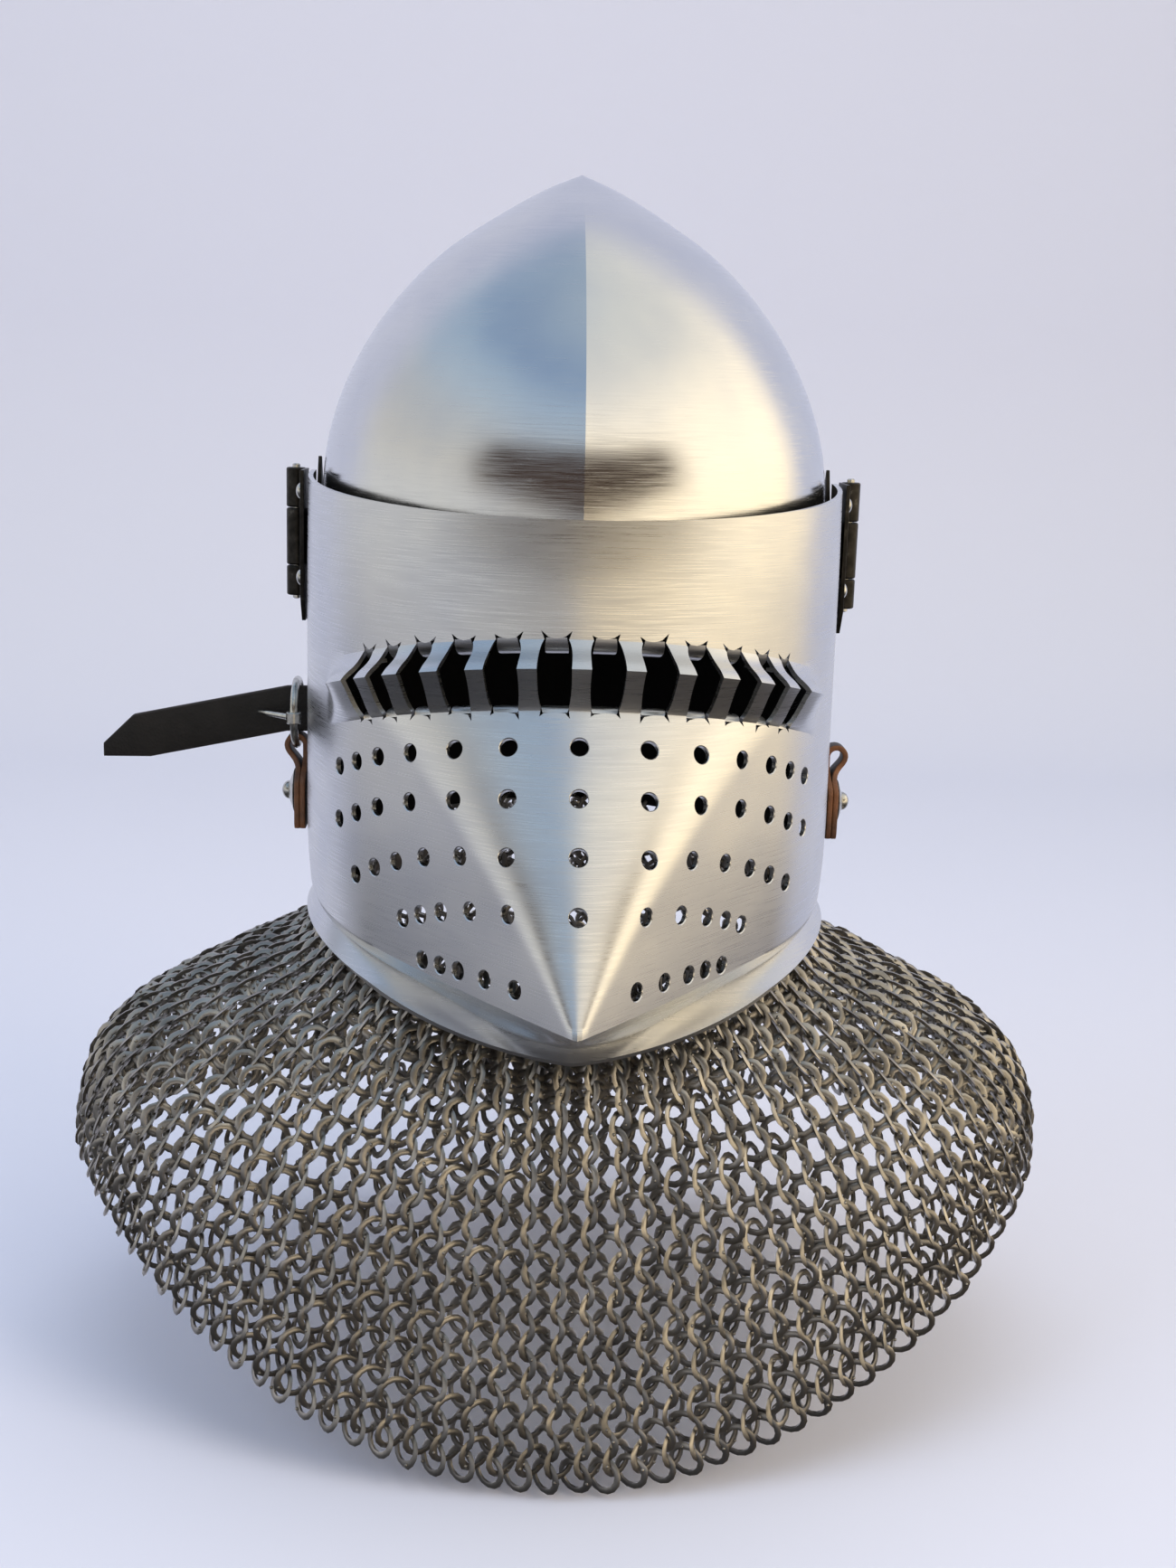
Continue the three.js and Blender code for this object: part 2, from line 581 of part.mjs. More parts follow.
// Prong: a sleeve on the ring's front, and a pin that lies against the strap
function prongGeometry() {
  const z = rimLevel + ring.rise;
  const rootY = ring.y - ring.radius;
  const half = prong.sleeveHeight / 2;
  const sleeve = toManifold(bar(prong.sleeve, -eyeX, rootY, z - half, z + half));
  const root = new THREE.Vector3(-eyeX - prong.rootX, rootY + prong.rootY, z);
  const end = new THREE.Vector3(-prong.end, strap.y - prong.wire - seatGap, z);
  const along = end.clone().sub(root);
  const pin = new THREE.CylinderGeometry(prong.wire * prong.tipShare, prong.wire, along.length(), 8);
  const upright = new THREE.Vector3(0, 1, 0);
  pin.applyQuaternion(new THREE.Quaternion().setFromUnitVectors(upright, along.normalize()));
  const middle = root.clone().add(end).multiplyScalar(0.5);
  pin.translate(middle.x, middle.y, middle.z);
  const bore = bar(ring.wire + prong.air, -eyeX, rootY, z - 2 * half, z + 2 * half);
  return toGeometry(sleeve.add(toManifold(pin)).subtract(toManifold(bore)));
}

// Closure strap: along the skull's side, round a bend and out through the ring
function strapGeometry() {
  const { x, y, thick, bend, tail } = strap;
  const half = strap.width / 2;
  const middle = rimLevel + strap.rise;
  const plan = new THREE.Shape();
  plan.moveTo(-x, y + tail);
  plan.lineTo(-x, y + bend);
  plan.absarc(-x - bend, y + bend, bend, 0, -Math.PI / 2, true);
  plan.lineTo(-2 * strapEnd.tip, y);
  plan.lineTo(-2 * strapEnd.tip, y + thick);
  plan.lineTo(-x - bend, y + thick);
  plan.absarc(-x - bend, y + bend, bend - thick, -Math.PI / 2, 0, false);
  plan.lineTo(-x - thick, y + tail);
  const height = 6 * strap.width;
  const tall = new THREE.ExtrudeGeometry(plan, { depth: height, bevelEnabled: false, curveSegments: 5 });
  tall.translate(0, 0, middle - 0.6 * height);
  const { from, tip, droop, topCorner, footCorner, noseTop, noseFoot } = strapEnd;
  const sag = (at) => droop * Math.max(0, (at - from) / (tip - from));
  const top = middle + half;
  const corners = [
    [0, top], [0, middle - half], [-from, middle - half],
    [footCorner - tip, middle - half - sag(tip - footCorner)], [-tip, top - noseFoot - sag(tip)],
    [-tip, top - noseTop - sag(tip)], [topCorner - tip, top - sag(tip - topCorner)], [-from, top],
  ];
  const front = new THREE.Shape(corners.map(([u, z]) => new THREE.Vector2(u, z)));
  const side = new THREE.ExtrudeGeometry(front, { depth: 4 * tail, bevelEnabled: false });
  side.rotateX(Math.PI / 2);
  side.translate(0, 2 * tail, 0);
  return toGeometry(toManifold(tall).intersect(toManifold(side)));
}

// Ring buckle, prong and strap, on the wearer's right
addMesh("ring_buckle", ringGeometry(-1), rivetSteel);
addMesh("buckle_prong", prongGeometry(), rivetSteel);
addMesh("closure_strap", strapGeometry(), leather);

export default helmet;
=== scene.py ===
import math

import bpy
import numpy as np
from mathutils import Matrix, Vector


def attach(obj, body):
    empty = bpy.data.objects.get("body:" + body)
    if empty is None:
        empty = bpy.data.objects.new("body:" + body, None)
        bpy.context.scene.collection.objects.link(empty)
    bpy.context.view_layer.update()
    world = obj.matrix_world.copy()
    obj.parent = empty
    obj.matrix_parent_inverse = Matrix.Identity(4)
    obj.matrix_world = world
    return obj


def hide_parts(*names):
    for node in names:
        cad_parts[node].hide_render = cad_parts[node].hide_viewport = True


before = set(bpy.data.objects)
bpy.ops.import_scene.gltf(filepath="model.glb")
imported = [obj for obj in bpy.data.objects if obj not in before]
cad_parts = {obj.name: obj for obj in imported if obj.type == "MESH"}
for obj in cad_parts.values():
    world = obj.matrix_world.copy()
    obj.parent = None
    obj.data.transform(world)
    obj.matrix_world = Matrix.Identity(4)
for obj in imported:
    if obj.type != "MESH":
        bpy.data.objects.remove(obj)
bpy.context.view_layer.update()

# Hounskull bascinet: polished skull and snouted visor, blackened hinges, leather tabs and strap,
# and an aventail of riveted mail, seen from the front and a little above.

# Camera: an eye 0.8 m ahead of the helmet, just under the level of its brow, looking down on it,
# held with a slight roll. The focal length follows from the picture's height of 1734 pixels.
PICTURE_HEIGHT = 1734
EYE_DISTANCE = 0.8
EYE_HEIGHT = -0.009
EYE_SIDE = math.radians(-1.8)
LOOK_TURN = math.radians(2.44)
LOOK_DOWN = math.radians(12.24)
ROLL = math.radians(1.72)
FOCAL_PIXELS = 2075
SENSOR = 36

eye = Vector((math.sin(EYE_SIDE) * EYE_DISTANCE, -math.cos(EYE_SIDE) * EYE_DISTANCE, EYE_HEIGHT))
level_ahead = Vector((math.sin(LOOK_TURN), math.cos(LOOK_TURN), 0))
ahead = level_ahead * math.cos(LOOK_DOWN) + Vector((0, 0, -math.sin(LOOK_DOWN)))
level_right = ahead.cross(Vector((0, 0, 1))).normalized()
level_up = level_right.cross(ahead)
right = level_right * math.cos(ROLL) + level_up * math.sin(ROLL)
up = level_up * math.cos(ROLL) - level_right * math.sin(ROLL)
camera_data = bpy.data.cameras.new("camera")
camera_data.sensor_width = SENSOR
camera_data.lens = FOCAL_PIXELS / PICTURE_HEIGHT * SENSOR
camera = bpy.data.objects.new("camera", camera_data)
camera.matrix_world = Matrix((
    (right.x, up.x, -ahead.x, eye.x),
    (right.y, up.y, -ahead.y, eye.y),
    (right.z, up.z, -ahead.z, eye.z),
    (0, 0, 0, 1),
))
bpy.context.scene.collection.objects.link(camera)
bpy.context.scene.camera = camera


# Floor, backdrop and light: a pale matt sweep behind and below, and soft lamps. The steel mirrors
# a sky that is cool on one side and warm on the other, dark towards the ground, with a dim brown
# patch low ahead. Each stop of a sky ramp is its place from straight down to straight up.
FLOOR = -0.438
WALL = 1.75
BACKDROP_COLOUR = "DDE0EE"
SKY_STRENGTH = 1.3
SKY_COOL = [
    (0.25, "38383B"), (0.36, "4A4B50"), (0.42, "787A82"), (0.46, "A9A9B2"), (0.51, "D2D2D0"), (0.6, "C8C5BE"),
    (0.67, "B9BDC0"), (0.71, "ABBAC9"), (0.76, "9DB1C5"), (0.8, "889EB9"), (0.9, "97A9BC"), (1, "A9B6C2"),
]
SKY_WARM = [
    (0.25, "322F2E"), (0.36, "484340"), (0.42, "7E7873"), (0.46, "C0B4A2"), (0.51, "FFEBC6"), (0.6, "FFEFD2"),
    (0.69, "EDE1CB"), (0.78, "C4C1B9"), (0.88, "B5B6B3"), (1, "A8AEB4"),
]
WARM_GAIN = 1.4
COOL_TO_WARM = (-0.08, 0.1)
AHEAD_TO_BEHIND = (0.3, 0.6)
BEHIND_COLOUR = "BEC1D2"
PATCH_COLOUR = "38281F"
PATCH_HEIGHT = 0.33
PATCH_SIZE = (1.05, 0.22)
PATCH_EDGE = (1.1, 0.8)
PATCH_AHEAD = (-0.3, -0.5)
SWEEP_BEND = 0.5
SWEEP_FRONT = -5
SWEEP_SIDE = 6
SWEEP_TOP = 5


def linear(hex_colour):
    """Linear RGBA of an sRGB hex colour."""
    values = [int(hex_colour[i:i + 2], 16) / 255 for i in (0, 2, 4)]
    return [v / 12.92 if v <= 0.04045 else ((v + 0.055) / 1.055) ** 2.4 for v in values] + [1]


def fill(tree, node, inputs):
    """Fills a node's inputs with values or links."""
    for key, value in inputs.items():
        if isinstance(value, bpy.types.NodeSocket):
            tree.links.new(value, node.inputs[key])
        else:
            node.inputs[key].default_value = value


def add_node(tree, kind, inputs, stops=(), **settings):
    """Adds a node, sets its settings and its stops of (place, hex colour), and fills its inputs."""
    node = tree.nodes.new(kind)
    for key, value in settings.items():
        setattr(node, key, value)
    for _ in stops[2:]:
        node.color_ramp.elements.new(0.5)
    for number, (place, colour) in enumerate(stops):
        node.color_ramp.elements[number].position = place
        node.color_ramp.elements[number].color = linear(colour)
    fill(tree, node, inputs)
    return node


def new_material(name):
    """An empty node material and its shader, joined to the output."""
    material = bpy.data.materials.new(name)
    material.use_nodes = True
    tree = material.node_tree
    tree.nodes.clear()
    shader = add_node(tree, "ShaderNodeBsdfPrincipled", {})
    add_node(tree, "ShaderNodeOutputMaterial", {"Surface": shader.outputs["BSDF"]})
    return material, tree, shader


def grid_faces(rows, columns, wrap=False):
    """Quads of a grid of points laid out row after row. With wrap the last column meets the first."""
    across = columns if wrap else columns - 1
    j, i = np.meshgrid(np.arange(rows - 1), np.arange(across), indexing="ij")
    k = (i + 1) % columns
    quads = [j * columns + i, (j + 1) * columns + i, (j + 1) * columns + k, j * columns + k]
    return np.stack(quads, axis=-1).reshape(-1, 4)


def keep_crisp(piece, angle):
    """Smooth shading with edges sharper than an angle, in degrees, kept crisp."""
    piece.data.shade_smooth()
    piece.data.set_sharp_from_angle(angle=math.radians(angle))


def mesh_object(name, points, faces, material=None, smooth_angle=None, second=None, second_faces=None):
    """Object from arrays of points in metres and faces, smooth where an angle for its crisp edges is
    given. A second material can go on a range of its faces."""
    mesh = bpy.data.meshes.new(name)
    rows = faces.tolist() if isinstance(faces, np.ndarray) else faces
    mesh.from_pydata(np.asarray(points).reshape(-1, 3), [], rows)
    mesh.update()
    if material:
        mesh.materials.append(material)
    if second:
        mesh.materials.append(second)
        which = np.zeros(len(mesh.polygons), np.int32)
        which[second_faces] = 1
        mesh.polygons.foreach_set("material_index", which)
    piece = bpy.data.objects.new(name, mesh)
    bpy.context.scene.collection.objects.link(piece)
    if smooth_angle is not None:
        keep_crisp(piece, smooth_angle)
    return piece


def sweep_points():
    """Floor running back to the wall's foot, a quarter round, then the wall, the same across."""
    turn = np.linspace(0, math.pi / 2, 24)
    y = np.concatenate([[SWEEP_FRONT], WALL - SWEEP_BEND + SWEEP_BEND * np.sin(turn), [WALL]])
    z = np.concatenate([[FLOOR], FLOOR + SWEEP_BEND - SWEEP_BEND * np.cos(turn), [SWEEP_TOP]])
    x = np.broadcast_to([-SWEEP_SIDE, SWEEP_SIDE], (len(y), 2))
    return np.stack([x, np.repeat(y[:, None], 2, 1), np.repeat(z[:, None], 2, 1)], -1)


# Matt painted paper: pale and even to the eye, with no gloss. The steel doesn't mirror it.
backdrop_material, tree, shader = new_material("matt_paper")
fill(tree, shader, {"Base Color": linear(BACKDROP_COLOUR), "Roughness": 0.9})
sweep = sweep_points()
backdrop = mesh_object("backdrop", sweep, grid_faces(len(sweep), 2), backdrop_material, 60)
backdrop.visible_glossy = False


def new_sky():
    """Evening sky by direction: each side is a ramp over the angle of height, the half behind is one
    even colour, and the patch ahead is an ellipse across and up with a soft edge. Each change from
    one to the next is a smooth rise over a span of the direction."""
    sky = bpy.data.worlds.new("evening_sky")
    sky.use_nodes = True
    tree = sky.node_tree
    tree.nodes.clear()
    direction = add_node(tree, "ShaderNodeTexCoord", {}).outputs["Generated"]
    x, y, z = add_node(tree, "ShaderNodeSeparateXYZ", {"Vector": direction}).outputs
    lift = add_node(tree, "ShaderNodeMath", {0: z}, operation="ARCSINE").outputs[0]
    height = add_node(tree, "ShaderNodeMapRange", {
        "Value": lift, "From Min": -math.pi / 2, "From Max": math.pi / 2}).outputs["Result"]
    across = add_node(tree, "ShaderNodeMath", {0: x, 1: PATCH_SIZE[0]}, operation="DIVIDE").outputs[0]
    above = add_node(tree, "ShaderNodeMath", {0: z, 1: PATCH_HEIGHT}, operation="SUBTRACT").outputs[0]
    above = add_node(tree, "ShaderNodeMath", {0: above, 1: PATCH_SIZE[1]}, operation="DIVIDE").outputs[0]
    spot = add_node(tree, "ShaderNodeCombineXYZ", {"X": across, "Y": above}).outputs[0]
    off = add_node(tree, "ShaderNodeVectorMath", {0: spot}, operation="LENGTH").outputs["Value"]
    spans = [(x, COOL_TO_WARM), (y, AHEAD_TO_BEHIND), (off, PATCH_EDGE), (y, PATCH_AHEAD)]
    warm_side, behind, inside, front = [
        add_node(tree, "ShaderNodeMapRange", {"Value": value, "From Min": low, "From Max": high},
                 interpolation_type="SMOOTHSTEP").outputs["Result"] for value, (low, high) in spans]
    patch = add_node(tree, "ShaderNodeMath", {0: inside, 1: front}, operation="MULTIPLY").outputs[0]
    cool = add_node(tree, "ShaderNodeValToRGB", {"Fac": height}, SKY_COOL).outputs["Color"]
    warm = add_node(tree, "ShaderNodeValToRGB", {"Fac": height}, SKY_WARM).outputs["Color"]
    glow = add_node(tree, "ShaderNodeVectorMath", {0: warm, "Scale": WARM_GAIN}, operation="SCALE").outputs[0]
    colour = cool
    for share, over in ((warm_side, glow), (behind, linear(BEHIND_COLOUR)), (patch, linear(PATCH_COLOUR))):
        colour = add_node(tree, "ShaderNodeMix", {"Factor": share, "A": colour, "B": over},
                          data_type="RGBA").outputs["Result"]
    lamp = add_node(tree, "ShaderNodeBackground", {"Color": colour, "Strength": SKY_STRENGTH})
    add_node(tree, "ShaderNodeOutputWorld", {"Surface": lamp.outputs["Background"]})
    return sky


bpy.context.scene.world = new_sky()
bpy.context.scene.view_settings.view_transform = "Standard"


def soft_light(name, place, size, power, colour):
    """Square area light of a size in metres, aimed at the visor, which polished steel doesn't mirror."""
    data = bpy.data.lights.new(name, "AREA")
    data.size = size
    data.energy = power
    data.color = linear(colour)[:3]
    light = bpy.data.objects.new(name, data)
    light.location = place
    aim = Vector((0, 0, -0.1)) - Vector(place)
    light.rotation_euler = aim.to_track_quat("-Z", "Y").to_euler()
    light.visible_glossy = False
    bpy.context.scene.collection.objects.link(light)


soft_light("sun_side", (1.3, -1.1, 0.7), 0.9, 14, "FFE9C9")
soft_light("sky_side", (-1.5, -0.9, 0.9), 1.4, 12, "CFE0FF")
soft_light("sky_above", (0.1, -0.2, 1.7), 1.6, 12, "EEF3FF")


# Skull: one bowl of 2 mm mild steel, raised to a point with a keel from front to back,
# planished, ground and satin polished, with an arched face opening cut under the brow.
MM = 0.001
RIM = -60
SHEET = 2
SKULL_KEEL = 0.16
SKULL_LEVELS = {
    "rise": [134, 127, 116, 101, 82, 60, 36, 12, -20, -60, -105, -155],
    "half_width": [0, 16, 35, 57, 76, 91, 101.5, 106.5, 107, 106, 104.5, 103],
    "front": [28, 9, -17, -41, -64, -83, -96, -103.5, -107, -107, -104, -100],
    "back": [28, 44, 68, 90, 109, 123, 131, 134, 132, 126, 121, 122],
}
FACE_HALF_WIDTH = 86
FACE_TOP = -22
FACE_CORNER = 40
FACE_FOOT = -220
FACE_DEPTH = -180
TIP_THICK = 3
STEEL_COLOUR = "CFD1D6"


def along(column, v, corners=()):
    """Catmull-Rom curve through a column of a table, at places v counted in rows. It may turn
    sharply at the rows named as corners, where one stretch ends and the next begins."""
    column = np.asarray(column, float)
    last = len(column) - 1
    i = np.clip(np.floor(v).astype(int), 0, last - 1)
    stops = np.array([0, *corners, last])
    stretch = np.searchsorted(stops[1:-1], i, side="right")
    low, high = stops[stretch], stops[stretch + 1]
    t = v - i
    a, b, c, d = (column[np.clip(i + k, low, high)] for k in (-1, 0, 1, 2))
    first = (2 * t**3 - 3 * t**2 + 1) * b + (t**3 - 2 * t**2 + t) * (c - a) / 2
    return first + (3 * t**2 - 2 * t**3) * c + (t**3 - t**2) * (d - b) / 2


def skull_surface(angle, v):
    """Half-ellipses front and back at each level, each drawn in by the keel share of the sine
    towards 45 degrees, so that they meet in a ridge on the middle plane. Millimetres."""
    front = along(SKULL_LEVELS["front"], v)
    back = along(SKULL_LEVELS["back"], v)
    side = np.sin(angle)
    x = along(SKULL_LEVELS["half_width"], v) * side
    y = (front + back) / 2 - (back - front) / 2 * np.cos(angle) * (1 - SKULL_KEEL * np.abs(side))
    return np.stack([x, y, RIM + along(SKULL_LEVELS["rise"], v)], axis=-1)


def wall_points(surface, angle, v, last):
    """Outer and inner faces of a sheet: the inner lies one sheet thickness along the inward normal,
    the cross product of the steps along the angle and down the levels."""
    h = 1e-3
    along_angle = surface(angle + h, v) - surface(angle - h, v)
    down = surface(angle, np.minimum(v + h, last)) - surface(angle, np.maximum(v - h, 0))
    inward = np.cross(along_angle, down)
    inward /= np.maximum(np.linalg.norm(inward, axis=-1, keepdims=True), 1e-9)
    outer = surface(angle, v)
    return outer, outer + SHEET * inward


def steel_material(name, colour, roughness, line_scale):
    """Ground and polished mild steel: a clear mirror of large shapes, softened by fine sanding
    lines, with the slow ripple of planished sheet. The lines lie about 0.4 mm apart, coarser than
    real ones, so that they show."""
    material, tree, shader = new_material(name)
    place = add_node(tree, "ShaderNodeTexCoord", {}).outputs["Object"]
    stretched = add_node(tree, "ShaderNodeMapping", {"Vector": place, "Scale": line_scale})
    lines = add_node(tree, "ShaderNodeTexNoise", {"Vector": stretched.outputs[0], "Scale": 1, "Detail": 3})
    patches = add_node(tree, "ShaderNodeTexNoise", {"Vector": place, "Scale": 28, "Detail": 3})
    ripple = add_node(tree, "ShaderNodeTexNoise", {"Vector": place, "Scale": 42, "Detail": 1})
    stops = [(0.3, colour), (0.75, "DDDDDC")]
    tint = add_node(tree, "ShaderNodeValToRGB", {"Fac": patches.outputs["Fac"]}, stops)
    rough = add_node(tree, "ShaderNodeMapRange", {
        "Value": lines.outputs["Fac"], "From Min": 0.3, "From Max": 0.7,
        "To Min": roughness - 0.06, "To Max": roughness + 0.08})
    planish = add_node(tree, "ShaderNodeBump", {
        "Strength": 0.25, "Distance": 0.0005, "Height": ripple.outputs["Fac"]})
    sanding = add_node(tree, "ShaderNodeBump", {
        "Strength": 0.18, "Distance": 0.00005, "Height": lines.outputs["Fac"],
        "Normal": planish.outputs["Normal"]})
    fill(tree, shader, {"Base Color": tint.outputs["Color"], "Roughness": rough.outputs["Result"],
                        "Normal": sanding.outputs["Normal"], "Metallic": 1})
    return material


def painted_shade_material():
    """Painted shade: matt black on the inside of the plates, standing for the dark inside of the helmet seen
    through the eye slots and breath holes.
    """
    material, tree, shader = new_material("inside_painted_shade")
    fill(tree, shader, {"Base Color": linear("151312"), "Roughness": 0.8})
    return material


def cut_away(piece, cutters):
    """Takes the cutters' solids out of a piece, and removes the cutters."""
    for cutter in cutters:
        change = piece.modifiers.new("cut", "BOOLEAN")
        change.solver = "MANIFOLD"
        change.operation = "DIFFERENCE"
        change.object = cutter
    bpy.context.view_layer.update()
    shape = bpy.data.meshes.new_from_object(piece.evaluated_get(bpy.context.evaluated_depsgraph_get()))
    piece.modifiers.clear()
    piece.data = shape
    for cutter in cutters:
        bpy.data.objects.remove(cutter)


def extrude(outline, depth_from, depth_to):
    """Points and faces of a prism: an outline of (across, up) between two depths, counter-clockwise
    as seen from the far end of the depth. Its axes are across, depth, up."""
    n = len(outline)
    ends = [np.insert(np.asarray(outline, float), 1, depth, axis=1) for depth in (depth_from, depth_to)]
    i = np.arange(n)
    k = (i + 1) % n
    sides = np.stack([i, k, k + n, i + n], axis=-1)
    return np.concatenate(ends), [list(range(n))[::-1], list(range(n, 2 * n))] + sides.tolist()


def face_arch():
    """Arch outline under the brow: upright sides, quarter-round corners and a flat top."""
    turn = np.linspace(0, math.pi / 2, 12)
    corner_x = FACE_HALF_WIDTH - FACE_CORNER + FACE_CORNER * np.cos(turn)
    corner_z = RIM + FACE_TOP - FACE_CORNER + FACE_CORNER * np.sin(turn)
    side = np.stack([corner_x, corner_z], -1)
    right_side = np.concatenate([[[FACE_HALF_WIDTH, RIM + FACE_FOOT]], side])
    return np.concatenate([right_side, right_side[::-1] * [-1, 1]])


def skull_piece():
    """The bowl as outer and inner grids that share a rim, closed at the point."""
    last = len(SKULL_LEVELS["rise"]) - 1
    angles = np.linspace(-math.pi, math.pi, 193)[:-1]
    levels = np.concatenate([np.linspace(0, 3, 50)[1:], np.linspace(3, last, 90)[1:]])
    angle, v = np.meshgrid(angles, levels)
    outer, inner = wall_points(skull_surface, angle, v, last)
    tip = skull_surface(np.array(0.0), np.array(0.0))
    rows, columns = angle.shape
    inner_start = rows * columns
    points = np.concatenate([outer.reshape(-1, 3), inner.reshape(-1, 3), [tip, tip - [0, 0, TIP_THICK]]])
    quads = grid_faces(rows, columns, wrap=True)
    i = np.arange(columns)
    k = (i + 1) % columns
    foot = (rows - 1) * columns
    rim = np.stack([foot + i, foot + inner_start + i, foot + inner_start + k, foot + k], -1)
    top = np.stack([np.full(columns, len(points) - 2), i, k], -1)
    under = np.stack([np.full(columns, len(points) - 1), k + inner_start, i + inner_start], -1)
    walls = np.concatenate([quads, quads[:, ::-1] + inner_start, rim])
    faces = walls.tolist() + top.tolist() + under.tolist()
    # Satin polish: a clear but soft mirror, with faint level sanding lines
    skull_steel = steel_material("satin_polished_steel", STEEL_COLOUR, 0.2, (60, 60, 2200))
    # The inner grid carries painted shade: matt black
    inside = slice(len(quads), 2 * len(quads))
    piece = mesh_object("skull_bowl", points * MM, faces, skull_steel, None, inside_shade, inside)
    arch_points, arch_faces = extrude(face_arch(), 0, FACE_DEPTH)
    cut_away(piece, [mesh_object("face_cutter", arch_points * MM, arch_faces)])
    keep_crisp(piece, 9)
    return piece


# Painted shade for the inner faces of skull and visor: matt black, for the dark inside of the helmet
inside_shade = painted_shade_material()
skull = skull_piece()
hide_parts("skull")
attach(skull, "skull")


# Visor: one 2 mm sheet wrapped round the face and drawn out into a cone, with a turned-out hem.
# The eye band is pushed outwards into a fold, slit into upright bars, and drilled below.
# The table's levels run from the rim down to the hem.
VISOR_LEVELS = {
    "rise": [0, -20, -43, -52, -69, -95, -121, -148, -173.6, -183.5, -193, -196.5],
    "side_rise": [9, -28, -79, -92, -106, -122, -136, -149, -158.5, -163, -166, -173],
    "half_width": [111.5, 112, 112, 112, 112, 112, 112, 111.5, 110.5, 109, 107.5, 112],
    "reach": [113, 116, 118.5, 119.5, 121, 124, 127, 129, 130, 127, 124.5, 141],
    "front": [113, 116, 118.5, 119.5, 121, 137, 153, 169, 185, 163, 141, 146],
    "nose": [113, 116, 118.5, 119.5, 121, 91, 61, 30, 2.5, 9, 60, 130],
    "bow": [0, 0, 0, 0, 0, 0, 0, 0, 0, 0.5, 1, 1],
}
# Levels of the fold's foot, the tip and the crease above the hem, where the columns turn sharply
VISOR_CORNERS = (4, 8, 10)
VISOR_LAST = 11
VISOR_END = math.radians(93)
SLOT_TOP, EYE_RIDGE, SLOT_FOOT = 2, 3, 4
RIDGE_HEIGHT = 11.5
RIDGE_SIDE_SHARE = 0.9
HEM_BOW = 1.2
RIDGE_FULL = math.radians(51)
RIDGE_GONE = math.radians(62)
SLOT_TURNS = [4.7, 14.1, 23, 31.5, 39.2, 46]
SLOT_WIDTHS = [12.8, 12.8, 11.3, 10.5, 8.8, 8]
# Rows of breath holes: rise above the rim, droop towards the side, and distances from the middle
HOLE_ROWS = [
    (-81, 49, [0, 26, 46, 63, 76, 85, 92.5]),
    (-98, 58, [0, 26, 46, 63, 76, 85, 92.5]),
    (-117, 74, [0, 26, 43, 57, 68, 77, 85]),
    (-136, 94, [0, 25, 39, 50, 58, 65]),
    (-164, 20, [22, 33, 43, 50, 57]),
]
HALF_WIDTH = 112
HOLE_RADIUS = 3.4
COUNTERSINK = 0.35
DRILL_DEPTH = 9
DRILL_OVER = 4
FLAP_BEND = math.radians(95)
FLAP_THICK = 1.4
FLAP_SINK = 0.3
FLAP_ROWS = 7
FLAP_ROOT = 0.04
FLAP_BELLY = 0.15
FLAP_SAW = 0.2
# Each tongue: its level, which way it runs down the sheet, its length and share of the slot's width
FLAPS = [(SLOT_TOP, 1, 10, 0.62), (SLOT_FOOT, -1, 7, 0.74)]
SLOT_REACH = 30
SLOT_TOP_DRAW = 0.4
SLOT_FOOT_DRAW = 0.28
SLOT_OVER = 1
SAW_OVERRUN = (0.7, 2.5)


def visor_surface(angle, v):
    """In plan each level is the hull of a drum and of a nose circle ahead of it: angles up to the
    tangent's own are shared out by length along the nose's arc and the tangent, and the rest go
    round the drum. Height falls from front to side with one less the cosine, or, by the share
    called bow, rises with a power of the sine. The eye fold is a tent between two levels."""
    level = {name: along(column, v, VISOR_CORNERS) for name, column in VISOR_LEVELS.items()}
    reach, nose, front = level["reach"], np.maximum(level["nose"], 1), level["front"]
    sin, cos, off = np.sin(angle), np.cos(angle), np.abs(angle)
    centre = np.maximum(front - nose, 1e-3)
    touch = np.arccos(np.clip((reach - nose) / centre, 0, 0.98))
    arc = nose * touch
    line = np.sqrt(np.maximum(centre**2 - (reach - nose) ** 2, 1e-9))
    way = np.minimum(off / touch, 1) * (arc + line)
    turn = np.minimum(way / nose, touch)
    share = np.clip((way - arc) / line, 0, 1)
    across = nose * np.sin(turn) + share * (reach * np.sin(touch) - nose * np.sin(turn))
    forward = centre + nose * np.cos(turn)
    forward = forward + share * (reach * np.cos(touch) - forward)
    across = np.where(off >= touch, reach * np.sin(off), across)
    forward = np.where(off >= touch, reach * cos, forward)
    t = np.clip((off - RIDGE_FULL) / (RIDGE_GONE - RIDGE_FULL), 0, 1)
    proud = RIDGE_HEIGHT * np.maximum(0, 1 - np.abs(v - EYE_RIDGE)) * (1 - t * t * (3 - 2 * t))
    x = np.sign(angle) * across * level["half_width"] / reach + RIDGE_SIDE_SHARE * proud * sin
    fall = (1 - level["bow"]) * (1 - cos) + level["bow"] * np.abs(sin) ** HEM_BOW
    z = RIM + level["rise"] + (level["side_rise"] - level["rise"]) * fall
    return np.stack([x, -forward - proud * cos, z], axis=-1)


def level_at_height(surface, angle, z, low, high):
    """Level at which a surface passes a height, found by halving."""
    low = np.full(np.shape(angle), float(low))
    high = np.full(np.shape(angle), float(high))
    for _ in range(30):
        middle = (low + high) / 2
        above = surface(angle, middle)[..., 2] > z
        low = np.where(above, middle, low)
        high = np.where(above, high, middle)
    return low


def unit(vectors):
    """Vectors at length one."""
    return vectors / np.linalg.norm(vectors, axis=-1, keepdims=True)


